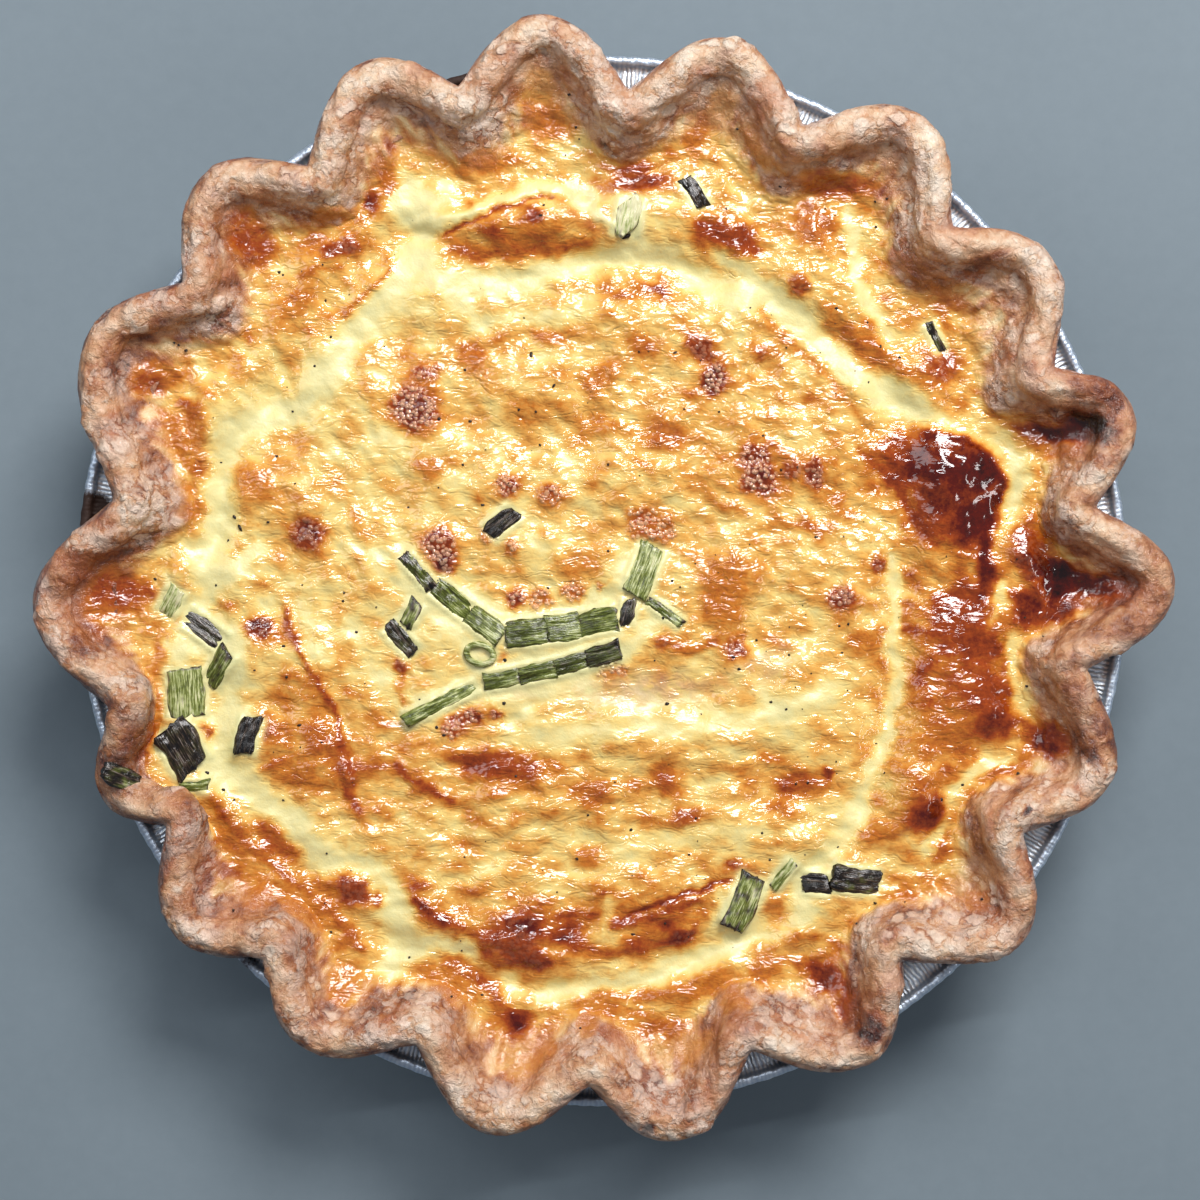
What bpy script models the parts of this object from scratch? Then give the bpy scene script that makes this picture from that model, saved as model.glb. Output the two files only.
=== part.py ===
"""A spring onion quiche baked in a foil tin: fluted pastry case, set custard and the pieces of onion on it.

Origin at the centre of the tin's flat base, +Z up. Sizes are real, in metres through the MM factor.
"""

import math

import bmesh
import bpy
import numpy as np
from mathutils import Matrix, Vector

MM = 0.001

# Foil tin: a nine inch pie tin with pleated sides, a flange and a rolled rim
TIN_BASE_RADIUS = 91.5 * MM
TIN_SHOULDER_RADIUS = 112.5 * MM
TIN_SHOULDER_HEIGHT = 28.6 * MM
TIN_RIM_RADIUS = 122.2 * MM
TIN_ROLL_RADIUS = 1.2 * MM
TIN_ROLL_HEIGHT = 29.2 * MM
TIN_ROLL_SIDES = 6
FOIL = 0.4 * MM
PLEATS = 36
PLEAT_DEPTH = 0.45 * MM

# Pastry case
CRUST_THICKNESS = 4.6 * MM
CRUST_CLEARANCE = 0.95 * MM
CRUST_BASE_HEIGHT = 0.75 * MM
ROLL_HALF_WIDTH = 4.5 * MM
FOOT_SPREAD = 0.9 * MM
SHOULDER_LIFT = 1.6 * MM
FOOT_HEIGHT = 31.6 * MM
SLOPE_CURVE = 1.45
LOBE_BREADTH = 0.8
STATIONS = 144

# Each flute: angle of its peak in degrees, how far it reaches, the height of its crest and where the
# custard meets it; then the same four values for the pinch that follows it. Lengths are in millimetres.
FLUTES = (
    (359.6, 133.0, 40.5, 106.5, 8.3, 109.3, 42.5, 102.0),
    (18.0, 129.3, 40.5, 105.0, 24.9, 109.5, 43.0, 95.5),
    (36.0, 128.3, 41.0, 99.5, 45.2, 109.5, 43.0, 94.0),
    (55.8, 130.9, 40.5, 104.0, 66.1, 109.3, 42.5, 95.5),
    (76.4, 129.3, 41.0, 102.5, 87.1, 107.5, 42.0, 95.5),
    (96.4, 132.0, 41.5, 103.0, 106.4, 113.5, 41.5, 95.5),
    (114.4, 132.3, 40.5, 105.0, 125.5, 112.5, 41.0, 101.0),
    (134.5, 132.0, 39.5, 107.5, 144.6, 113.9, 41.0, 98.0),
    (154.3, 132.3, 39.0, 107.0, 170.8, 109.5, 41.5, 95.0),
    (182.7, 132.2, 38.5, 107.0, 194.6, 112.0, 41.0, 107.0),
    (203.0, 126.5, 36.5, 113.5, 208.9, 109.8, 41.5, 107.5),
    (219.5, 128.8, 40.0, 104.5, 228.2, 111.2, 42.0, 100.5),
    (237.0, 128.6, 41.0, 105.0, 248.3, 110.2, 42.5, 98.5),
    (258.5, 130.8, 41.0, 103.0, 268.6, 110.9, 42.5, 98.5),
    (277.6, 131.0, 41.0, 102.5, 287.4, 108.4, 43.0, 97.0),
    (299.0, 128.0, 40.5, 101.0, 308.3, 106.1, 43.0, 97.0),
    (319.5, 128.5, 41.0, 102.0, 328.9, 107.5, 43.5, 97.5),
    (338.8, 126.8, 40.5, 105.5, 349.9, 108.2, 43.0, 97.0),
)

# Custard
CUSTARD_GAP = 0.5 * MM
CUSTARD_LEVEL = 29.6 * MM
CUSTARD_DOME = 0.9 * MM
LIFTED_EDGE_DEGREES = 203.0
LIFTED_EDGE_HALF_WIDTH = 5.0
LIFTED_EDGE_HEIGHT = 2.4 * MM
LIFTED_EDGE_REACH = 10.0 * MM
CRACK_DEPTH = 1.5 * MM
CRACK_HALF_WIDTH = 4.0 * MM
PUFF_HEIGHT = 1.0 * MM
PUFF_OFFSET = 10.0 * MM
PUFF_HALF_WIDTH = 6.0 * MM
RIPPLE_HEIGHT = 0.28 * MM
RIPPLE_LENGTHS = (14.0 * MM, 34.0 * MM)
RIPPLES = 10
RIPPLE_SEED = 7
EDGE_BLEND = 7.0 * MM

# The ring where the middle of the custard sank from its puffed edge: angle in degrees, radius in millimetres
CRACK_RING = (
    (0, 70), (30, 80), (60, 77), (88, 74), (108, 81), (121, 93), (145, 89), (180, 92),
    (212, 98), (240, 98), (270, 95), (292, 89), (312, 82), (335, 74),
)

# Browned blisters: x, y, half length, half width, turn in degrees, height; lengths in millimetres
BLISTERS = (
    (79, 22, 15, 9, -62, 3.0),
    (90, -6, 9, 7, 70, 2.0),
    (87, -28, 14, 8, 75, 1.8),
    (76, -45, 9, 8, 40, 1.2),
    (97, 9, 6, 4.5, -70, 1.5),
    (-21, -84, 17, 6, -8, 1.6),
    (12, -83, 14, 5, 6, 1.3),
    (-41, -75, 12, 5, -38, 1.6),
    (-58, -73, 7, 5, -45, 1.3),
    (-18, 81, 20, 6, 10, 2.4),
    (28, 80, 10, 5, -28, 1.5),
    (50, 78, 8, 6, -30, 1.4),
    (58, 58, 13, 6, -42, 1.2),
    (-63, 63, 15, 8, 42, 1.2),
    (-70, -42, 14, 7, -52, 1.0),
)

# Spring onion: x, y, turn in degrees, length, width, thickness, tone; lengths in millimetres
ONION_PIECES = {
    "onion_long_a1": (-42.8, 2.2, -49, 9.0, 3.4, 2.4, "green"),
    "onion_long_a2": (-34.9, -4.2, -38, 9.2, 5.4, 2.8, "green"),
    "onion_long_a3": (-27.0, -10.2, -37, 8.4, 5.6, 2.8, "green"),
    "onion_long_b1": (-17.4, -11.9, 6, 8.8, 6.8, 3.0, "green"),
    "onion_long_b2": (-9.0, -10.8, 8, 6.8, 6.8, 3.0, "green"),
    "onion_long_b3": (-0.9, -9.4, 10, 8.2, 6.2, 3.0, "green"),
    "onion_fork_c": (9.8, 2.4, 68, 11.2, 6.4, 2.8, "green"),
    "onion_fork_knot": (6.0, -7.2, 78, 5.0, 3.8, 2.8, "charred"),
    "onion_fork_tip": (14.6, -7.2, -36, 8.4, 2.5, 2.2, "green"),
    "onion_row_f1": (-23.3, -22.8, 12, 7.4, 4.4, 2.4, "green"),
    "onion_row_f2": (-15.1, -21.2, 12, 7.6, 4.6, 2.6, "green"),
    "onion_row_f3": (-7.2, -19.2, 15, 7.0, 4.6, 2.6, "green"),
    "onion_row_f4": (0.3, -17.0, 17, 7.0, 5.0, 2.6, "green"),
    "onion_strip_g": (-37.3, -28.3, 26, 18.0, 3.4, 2.2, "green"),
    "onion_green_m1": (-44.2, -7.6, 62, 5.2, 3.8, 2.4, "green"),
    "onion_charred_m2": (-46.8, -13.4, -47, 7.8, 4.4, 2.4, "charred"),
    "onion_sunk_n": (-23.2, 13.6, 40, 7.0, 5.0, 2.4, "charred"),
    "onion_edge_h1": (-100.0, -4.6, 62, 5.8, 4.6, 2.6, "green"),
    "onion_edge_h2": (-92.4, -11.4, -36, 10.4, 5.4, 2.6, "charred"),
    "onion_edge_h3": (-96.6, -26.0, -88, 10.2, 8.6, 3.0, "green"),
    "onion_edge_h4": (-89.2, -20.0, 56, 8.0, 4.6, 2.8, "green"),
    "onion_edge_h5": (-97.4, -38.8, -60, 10.2, 9.0, 3.2, "charred"),
    "onion_edge_h6": (-110.6, -45.2, -20, 7.6, 5.4, 2.4, "charred"),
    "onion_edge_h7": (-94.6, -47.5, 4, 5.6, 2.8, 2.2, "green"),
    "onion_charred_i": (-82.4, -35.8, 76, 7.6, 5.2, 2.8, "charred"),
    "onion_low_j1": (33.0, -74.8, 66, 12.0, 6.6, 3.0, "green"),
    "onion_low_j2": (42.2, -68.2, 52, 7.0, 2.8, 2.2, "green"),
    "onion_low_j3": (49.8, -70.4, -4, 5.2, 5.0, 2.8, "charred"),
    "onion_low_j4": (58.9, -69.6, -8, 10.0, 6.2, 2.8, "charred"),
    "onion_charred_k1": (21.4, 90.2, -58, 6.6, 3.8, 2.4, "charred"),
    "onion_clear_k2": (6.2, 84.6, 80, 8.0, 6.0, 2.2, "pale"),
    "onion_sliver_l": (77.4, 56.8, -64, 6.2, 2.4, 2.2, "green"),
}
# The ring-cut piece: x, y, turn in degrees, length, width, thickness of its wall; lengths in millimetres
ONION_RING = (-28.3, -17.0, -12, 8.0, 6.0, 1.5)
ONION_TONES = {
    "green": ("Green onion", (0.2, 0.26, 0.08), 0.4),
    "charred": ("Charred onion", (0.06, 0.045, 0.03), 0.35),
    "pale": ("Pale onion", (0.55, 0.5, 0.24), 0.35),
}
PIECE_SIDES = 8
PIECE_BEVEL = 0.35 * MM
SUNK_SHARE = 0.62
POCKET_GAP = 0.35 * MM
POCKET_HEIGHT = 12.0 * MM
RING_STATIONS = 14
RING_SIDES = 6


# Scene and small helpers


def clear_scene():
    """Removes every object of the open file."""
    for obj in list(bpy.data.objects):
        bpy.data.objects.remove(obj, do_unlink=True)


def new_collection(name):
    """A collection linked to the scene."""
    made = bpy.data.collections.new(name)
    bpy.context.scene.collection.children.link(made)
    return made


def material(name, colour, roughness, metallic=0.0):
    """A Principled material of one colour."""
    made = bpy.data.materials.new(name)
    made.use_nodes = True
    shader = made.node_tree.nodes["Principled BSDF"]
    shader.inputs["Base Color"].default_value = (*colour, 1.0)
    shader.inputs["Roughness"].default_value = roughness
    shader.inputs["Metallic"].default_value = metallic
    return made


def object_from(name, bm, collection, finish=None):
    """Turns a bmesh into a named object with one material and rounded shading."""
    bmesh.ops.recalc_face_normals(bm, faces=bm.faces)
    mesh = bpy.data.meshes.new(name)
    bm.to_mesh(mesh)
    bm.free()
    mesh.shade_smooth()
    mesh.set_sharp_from_angle(angle=math.radians(50))
    if finish:
        mesh.materials.append(finish)
    obj = bpy.data.objects.new(name, mesh)
    collection.objects.link(obj)
    return obj


def loft(rings, first_pole, last_pole):
    """A closed bmesh through rings of points. A ring may have half as many points as the one before."""
    bm = bmesh.new()
    loops = [[bm.verts.new(point) for point in ring] for ring in rings]
    for ring, following in zip(loops, loops[1:]):
        join_loops(bm, ring, following)
    for loop, pole in ((loops[0], first_pole), (loops[-1], last_pole)):
        tip = bm.verts.new(pole)
        for i, vert in enumerate(loop):
            bm.faces.new((vert, loop[(i + 1) % len(loop)], tip))
    bmesh.ops.triangulate(bm, faces=bm.faces, quad_method="SHORT_EDGE")
    return bm


def join_loops(bm, ring, following):
    """Bridges two closed loops with as many points, or the second with half as many."""
    count = len(following)
    for i in range(count):
        j = (i + 1) % count
        if len(ring) == count:
            bm.faces.new((ring[i], ring[j], following[j], following[i]))
        else:
            a, b, c = ring[2 * i], ring[2 * i + 1], ring[(2 * i + 2) % len(ring)]
            bm.faces.new((a, b, following[i]))
            bm.faces.new((b, c, following[j], following[i]))


def ring_points(angles, radii, heights):
    """Points of a ring at each angle, radius and height."""
    radii = np.broadcast_to(radii, angles.shape)
    heights = np.broadcast_to(heights, angles.shape)
    return np.stack([radii * np.cos(angles), radii * np.sin(angles), heights], axis=1)


def eased_around(angles, key_degrees, key_values, breadth=1.0):
    """A periodic curve through the key values, level at each. A breadth under 1 widens it at its high ones."""
    order = np.argsort(key_degrees)
    degrees = np.asarray(key_degrees, float)[order]
    values = np.asarray(key_values, float)[order]
    degrees = np.concatenate([[degrees[-1] - 360], degrees, [degrees[0] + 360]])
    values = np.concatenate([[values[-1]], values, [values[0]]])
    turned = np.degrees(angles) % 360
    left = np.clip(np.searchsorted(degrees, turned, side="right") - 1, 0, len(degrees) - 2)
    share = (turned - degrees[left]) / (degrees[left + 1] - degrees[left])
    low = np.minimum(values[left], values[left + 1])
    high = np.maximum(values[left], values[left + 1])
    rising = values[left + 1] >= values[left]
    share = np.where(rising, share, 1 - share)
    eased = (1 - np.cos(np.pi * np.clip(share, 0, 1))) / 2
    return low + (high - low) * eased**breadth


# Pastry edge


def flute_keys(column):
    """Key angles, and one value for each peak and pinch. Column 0 is reach, 1 crest height, 2 custard edge."""
    degrees = [flute[0] for flute in FLUTES] + [flute[4] for flute in FLUTES]
    values = [flute[1 + column] for flute in FLUTES] + [flute[5 + column] for flute in FLUTES]
    return degrees, np.array(values) * MM


def crest_radius(angles):
    """Radius of the crest's centre line."""
    degrees, reach = flute_keys(0)
    reach[: len(FLUTES)] -= ROLL_HALF_WIDTH + FOOT_SPREAD
    return eased_around(angles, degrees, reach, LOBE_BREADTH)


def crest_height(angles):
    """Height of the crest."""
    return eased_around(angles, *flute_keys(1))


def custard_edge(angles):
    """Radius at which the custard meets the pastry."""
    return eased_around(angles, *flute_keys(2))


def crest_offset(angles, half_width, side):
    """Radius of the crest's outer (side 1) or inner (side -1) edge at a half width, measured across the crest."""
    around = np.linspace(0, 2 * math.pi, 1440, endpoint=False)
    line = crest_radius(around)
    turn = around[None, :] - angles[:, None]
    along = line * np.cos(turn)
    across = line * np.sin(turn)
    near = (np.abs(across) < half_width) & (along > 0)
    reach = along + side * np.sqrt(np.clip(half_width**2 - across**2, 0, None))
    reach = np.where(near, reach, -side * np.inf)
    return reach.max(axis=1) if side > 0 else reach.min(axis=1)


def edge_lift(angles):
    """How far the custard's edge runs up the pastry, in the one flute where it does."""
    off = (np.degrees(angles) - LIFTED_EDGE_DEGREES + 180) % 360 - 180
    return LIFTED_EDGE_HEIGHT * np.exp(-((off / LIFTED_EDGE_HALF_WIDTH) ** 2))


def slope_points(angles, share):
    """Radius and height of the pastry's inner slope: share 0 is under the crest and 1 at the custard."""
    inner = crest_offset(angles, ROLL_HALF_WIDTH, -1)
    top = crest_height(angles) - ROLL_HALF_WIDTH
    foot = custard_edge(angles)
    foot_height = CUSTARD_LEVEL + edge_lift(angles)
    radius = inner + (foot - inner) * share
    height = foot_height + (top - foot_height) * (1 - share) ** SLOPE_CURVE
    return radius, height


def tin_wall_radius(height):
    """Radius of the tin's side at a height."""
    share = height / TIN_SHOULDER_HEIGHT
    return TIN_BASE_RADIUS + (TIN_SHOULDER_RADIUS - TIN_BASE_RADIUS) * share


def case_inner_rings(angles, gap=0.0):
    """Rings of the pastry's inside below the custard's edge, from the floor up, moved inwards by gap."""
    floor_height = CRUST_BASE_HEIGHT + CRUST_THICKNESS
    wall_height = 27.0 * MM
    edge = custard_edge(angles)
    floor_radius = tin_wall_radius(floor_height) - CRUST_CLEARANCE - CRUST_THICKNESS
    wall_radius = tin_wall_radius(wall_height) - CRUST_CLEARANCE - CRUST_THICKNESS
    wall_radius = np.minimum(wall_radius, edge - 1.0 * MM)
    return (
        ring_points(angles, floor_radius - gap, floor_height + gap),
        ring_points(angles, wall_radius - gap, wall_height),
        ring_points(angles, edge - gap, CUSTARD_LEVEL + edge_lift(angles)),
    )


def make_crust(collection, finish):
    """The pastry case: a floor and wall inside the tin, and a fluted edge that stands on its flange."""
    angles = np.linspace(0, 2 * math.pi, STATIONS, endpoint=False)
    crest = crest_height(angles)
    wall_top = 26.0 * MM
    rings = [
        ring_points(angles, tin_wall_radius(CRUST_BASE_HEIGHT) - CRUST_CLEARANCE, CRUST_BASE_HEIGHT),
        ring_points(angles, tin_wall_radius(wall_top) - CRUST_CLEARANCE, wall_top),
        ring_points(angles, TIN_SHOULDER_RADIUS + 0.3 * MM, TIN_SHOULDER_HEIGHT + SHOULDER_LIFT),
        ring_points(angles, crest_offset(angles, ROLL_HALF_WIDTH + FOOT_SPREAD, 1), FOOT_HEIGHT),
    ]
    roll = ((1.0, 1.0), (0.8, 0.4), (0.45, 0.1))
    for width, drop in roll:
        radius = crest_offset(angles, ROLL_HALF_WIDTH * width, 1)
        rings.append(ring_points(angles, radius, crest - ROLL_HALF_WIDTH * drop))
    rings.append(ring_points(angles, crest_radius(angles), crest))
    for width, drop in reversed(roll):
        radius = crest_offset(angles, ROLL_HALF_WIDTH * width, -1)
        rings.append(ring_points(angles, radius, crest - ROLL_HALF_WIDTH * drop))
    for share in (0.33, 0.66):
        rings.append(ring_points(angles, *slope_points(angles, share)))
    rings.extend(reversed(case_inner_rings(angles)))
    floor_height = CRUST_BASE_HEIGHT + CRUST_THICKNESS
    bm = loft(rings, (0, 0, CRUST_BASE_HEIGHT), (0, 0, floor_height))
    return object_from("pastry_crust", bm, collection, finish)


# Custard


def ripples():
    """Wave vectors and phases of the custard's shallow ripples."""
    draw = np.random.default_rng(RIPPLE_SEED)
    lengths = draw.uniform(*RIPPLE_LENGTHS, RIPPLES)
    directions = draw.uniform(0, math.pi, RIPPLES)
    phases = draw.uniform(0, 2 * math.pi, RIPPLES)
    waves = 2 * math.pi / lengths
    return waves * np.cos(directions), waves * np.sin(directions), phases


def custard_height(x, y):
    """Height of the custard's top."""
    radius = np.hypot(x, y)
    angles = np.arctan2(y, x)
    crack_degrees, crack_radii = zip(*CRACK_RING)
    crack = eased_around(angles, crack_degrees, np.array(crack_radii) * MM)
    edge = custard_edge(angles)
    relief = CUSTARD_DOME * (1 - (radius / edge) ** 2)
    relief = relief - CRACK_DEPTH * np.exp(-(((radius - crack) / CRACK_HALF_WIDTH) ** 2))
    relief = relief + PUFF_HEIGHT * np.exp(-(((radius - crack - PUFF_OFFSET) / PUFF_HALF_WIDTH) ** 2))
    for along_x, along_y, phase in zip(*ripples()):
        relief = relief + RIPPLE_HEIGHT * np.sin(along_x * x + along_y * y + phase)
    for centre_x, centre_y, length, width, turn, height in BLISTERS:
        cosine, sine = math.cos(math.radians(turn)), math.sin(math.radians(turn))
        off_x, off_y = x - centre_x * MM, y - centre_y * MM
        along = (off_x * cosine + off_y * sine) / (length * MM)
        across = (off_y * cosine - off_x * sine) / (width * MM)
        relief = relief + height * MM * np.exp(-(along**2) - across**2)
    inside = np.clip((edge - radius) / EDGE_BLEND, 0, 1)
    lift = edge_lift(angles) * np.exp(-(((edge - radius) / LIFTED_EDGE_REACH) ** 2))
    return CUSTARD_LEVEL + lift + relief * inside * inside * (3 - 2 * inside)


def make_custard(collection, finish):
    """The set custard, which fills the case up to its relief."""
    angles = np.linspace(0, 2 * math.pi, STATIONS, endpoint=False)
    rings = list(case_inner_rings(angles, CUSTARD_GAP))
    for share, step in (
        (0.965, 1), (0.92, 1), (0.87, 2), (0.8, 2), (0.72, 2), (0.63, 2),
        (0.54, 2), (0.44, 2), (0.33, 4), (0.21, 4), (0.1, 4),
    ):
        spaced = angles[::step]
        radius = (custard_edge(spaced) - CUSTARD_GAP) * share
        x, y = radius * np.cos(spaced), radius * np.sin(spaced)
        rings.append(np.stack([x, y, custard_height(x, y)], axis=1))
    floor = (0, 0, CRUST_BASE_HEIGHT + CRUST_THICKNESS + CUSTARD_GAP)
    bm = loft(rings, floor, (0, 0, float(custard_height(0.0, 0.0))))
    return object_from("custard_filling", bm, collection, finish)


# Spring onion


def surface_height(x, y):
    """Height of what shows from above inside the crest: custard, and the pastry's slope beyond it."""
    radius = math.hypot(x, y)
    angles = np.array([math.atan2(y, x)])
    foot = float(custard_edge(angles)[0])
    if radius <= foot:
        return float(custard_height(np.array([x]), np.array([y]))[0])
    inner, top = (float(value[0]) for value in slope_points(angles, 0.0))
    if radius > inner:
        across = min(radius - float(crest_radius(angles)[0]), 0.0)
        return top + math.sqrt(max(ROLL_HALF_WIDTH**2 - across**2, 0.0))
    share = np.array([(radius - inner) / (foot - inner)])
    return float(slope_points(angles, share)[1][0])


def seat(x, y, turn, lift):
    """A matrix that lays a piece on the surface, turned about its normal, with its middle lifted along it."""
    reach = 2.0 * MM
    rise_x = surface_height(x + reach, y) - surface_height(x - reach, y)
    rise_y = surface_height(x, y + reach) - surface_height(x, y - reach)
    normal = Vector((-rise_x / (2 * reach), -rise_y / (2 * reach), 1.0)).normalized()
    tilt = normal.to_track_quat("Z", "Y").to_matrix().to_4x4()
    flat_x = tilt.inverted() @ Vector((math.cos(turn), math.sin(turn), 0.0))
    heading = Matrix.Rotation(math.atan2(flat_x.y, flat_x.x), 4, "Z")
    place = Vector((x, y, surface_height(x, y))) + normal * lift
    return Matrix.Translation(place) @ tilt @ heading


def flattened_tube(length, width, thickness):
    """A tube lying along X, pressed flat, as a closed bmesh."""
    bm = bmesh.new()
    bmesh.ops.create_cone(
        bm, cap_ends=True, segments=PIECE_SIDES, radius1=0.5, radius2=0.5, depth=1.0
    )
    stretch = 1 / math.cos(math.pi / PIECE_SIDES)
    turn = Matrix.Rotation(math.pi / PIECE_SIDES, 4, "Z")
    lay_down = Matrix.Rotation(math.pi / 2, 4, "Y")
    size = Matrix.Diagonal((length, width * stretch, thickness * stretch, 1.0))
    bm.transform(size @ lay_down @ turn)
    return bm


def make_onion_piece(name, row, collection, cutters, finish):
    """One cut piece of spring onion and the trough that it lies in."""
    x, y = row[0] * MM, row[1] * MM
    turn = math.radians(row[2])
    length, width, thickness = (value * MM for value in row[3:6])
    place = seat(x, y, turn, thickness * (0.5 - SUNK_SHARE))
    piece = object_from(name, flattened_tube(length, width, thickness), collection, finish)
    piece.matrix_world = place
    bevel = piece.modifiers.new("Cut edge", "BEVEL")
    bevel.width = PIECE_BEVEL
    bevel.segments = 1
    bevel.limit_method = "ANGLE"
    bevel.angle_limit = math.radians(60)
    trough = flattened_tube(*(value + 2 * POCKET_GAP for value in (length, width, thickness)))
    for vert in trough.verts:
        if vert.co.z > 0:
            vert.co.z += POCKET_HEIGHT
    make_cutter(name + "_trough", trough, place, cutters)


def make_onion_ring(name, row, collection, cutters, finish):
    """The piece cut across the stem: an oval ring with the custard inside it."""
    x, y = row[0] * MM, row[1] * MM
    length, width, wall = (value * MM for value in row[3:])
    place = seat(x, y, math.radians(row[2]), 0.0)
    for ring_name, radius, stretch in ((name, wall / 2, 1.0), (name + "_trough", wall / 2 + POCKET_GAP, 5.0)):
        bm = bmesh.new()
        turns = np.linspace(0, 2 * math.pi, RING_STATIONS, endpoint=False)
        sides = np.linspace(0, 2 * math.pi, RING_SIDES, endpoint=False) + math.pi / RING_SIDES
        loops = []
        for turn in turns:
            loop = []
            for side in sides:
                out = radius * math.cos(side)
                up = radius * math.sin(side) * (stretch if math.sin(side) > 0 else 1.2)
                at = ((length / 2 - wall / 2 + out) * math.cos(turn), (width / 2 - wall / 2 + out) * math.sin(turn))
                loop.append(bm.verts.new((*at, up)))
            loops.append(loop)
        for loop, following in zip(loops, loops[1:] + loops[:1]):
            join_loops(bm, loop, following)
        if ring_name == name:
            object_from(name, bm, collection, finish).matrix_world = place
        else:
            make_cutter(ring_name, bm, place, cutters)


def make_cutter(name, bm, place, cutters):
    """A helper shape that only cuts."""
    cutter = object_from(name, bm, cutters)
    cutter.matrix_world = place
    cutter.hide_render = True
    cutter.display_type = "WIRE"


def cut_troughs(obj, cutters):
    """Cuts every trough out of an object."""
    cut = obj.modifiers.new("Troughs", "BOOLEAN")
    cut.operation = "DIFFERENCE"
    cut.solver = "EXACT"
    cut.operand_type = "COLLECTION"
    cut.collection = cutters


# Foil tin


def tin_profile():
    """Half the tin's section as radius and height: inside from the centre, over the rim, down the outside."""
    roll_centre = TIN_RIM_RADIUS - TIN_ROLL_RADIUS
    inside = [
        (0.0, FOIL),
        (TIN_BASE_RADIUS - FOIL, FOIL),
        (tin_wall_radius(3 * MM) - FOIL, 3 * MM),
        (TIN_SHOULDER_RADIUS - FOIL, TIN_SHOULDER_HEIGHT),
        (TIN_SHOULDER_RADIUS, TIN_SHOULDER_HEIGHT + FOIL),
    ]
    outside = [
        (TIN_SHOULDER_RADIUS, TIN_SHOULDER_HEIGHT),
        (tin_wall_radius(3 * MM), 3 * MM),
        (TIN_BASE_RADIUS, 0.0),
        (0.0, 0.0),
    ]
    start = math.radians(170)
    sweep = math.radians(320)
    roll = []
    for step in range(TIN_ROLL_SIDES + 1):
        angle = start - sweep * step / TIN_ROLL_SIDES
        radius = roll_centre + TIN_ROLL_RADIUS * math.cos(angle)
        roll.append((radius, TIN_ROLL_HEIGHT + TIN_ROLL_RADIUS * math.sin(angle)))
    return inside + roll + outside


def pleat_share(radius, height):
    """How much a point of the tin takes part in its pleats: none on the base and on the rolled rim."""
    if radius < TIN_BASE_RADIUS + 0.5 * MM or height < 2.5 * MM:
        return 0.0
    if radius > TIN_RIM_RADIUS - 2.6 * TIN_ROLL_RADIUS:
        return 0.0
    return 1.0


def make_tin(collection, finish):
    """The foil tin: its section turned round, with the side and flange pressed into pleats."""
    profile = tin_profile()
    mesh = bpy.data.meshes.new("foil_tin_profile")
    edges = [(i, i + 1) for i in range(len(profile) - 1)]
    mesh.from_pydata([(radius, 0.0, height) for radius, height in profile], edges, [])
    turned = bpy.data.objects.new("foil_tin_profile", mesh)
    collection.objects.link(turned)
    screw = turned.modifiers.new("Turn", "SCREW")
    screw.steps = 2 * PLEATS
    screw.render_steps = 2 * PLEATS
    screw.use_merge_vertices = True
    screw.merge_threshold = 0.00001
    graph = bpy.context.evaluated_depsgraph_get()
    solid = bpy.data.meshes.new_from_object(turned.evaluated_get(graph))
    bm = bmesh.new()
    bm.from_mesh(solid)
    bpy.data.objects.remove(turned)
    bpy.data.meshes.remove(solid)
    bpy.data.meshes.remove(mesh)
    for vert in bm.verts:
        radius = math.hypot(vert.co.x, vert.co.y)
        share = pleat_share(radius, vert.co.z)
        if not share:
            continue
        station = round(math.atan2(vert.co.y, vert.co.x) / math.pi * PLEATS)
        move = share * PLEAT_DEPTH * (1 if station % 2 else -1) / 2
        vert.co.x *= 1 + move / radius
        vert.co.y *= 1 + move / radius
    return object_from("foil_tin", bm, collection, finish)


def main():
    """Builds the quiche."""
    clear_scene()
    quiche = new_collection("Quiche")
    cutters = new_collection("Troughs")
    foil = material("Foil", (0.78, 0.8, 0.82), 0.3, 1.0)
    pastry = material("Baked pastry", (0.66, 0.4, 0.2), 0.6)
    custard = material("Browned custard", (0.86, 0.55, 0.16), 0.35)
    onion = {tone: material(name, colour, roughness) for tone, (name, colour, roughness) in ONION_TONES.items()}
    make_tin(quiche, foil)
    crust = make_crust(quiche, pastry)
    filling = make_custard(quiche, custard)
    for name, row in ONION_PIECES.items():
        make_onion_piece(name, row, quiche, cutters, onion[row[-1]])
    make_onion_ring("onion_ring_e", ONION_RING, quiche, cutters, onion["pale"])
    cut_troughs(crust, cutters)
    cut_troughs(filling, cutters)


main()
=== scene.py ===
"""Looks of the spring onion quiche in its foil tin: skin, pastry, foil, onion, light and camera.

Lengths are in metres through the MM factor. Things that lie on top are placed on a map: a square of
1200 units seen from straight above, with u along +X, v along -Y and 0.2324 mm to a unit at the height
of the tin's rim. Browning goes from 0, pale, to 1, burnt, and in places the browning masks also hold
painted shade and painted highlight.
"""

import math

import bmesh
import bpy
import numpy as np
from mathutils import Matrix, Vector

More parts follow.
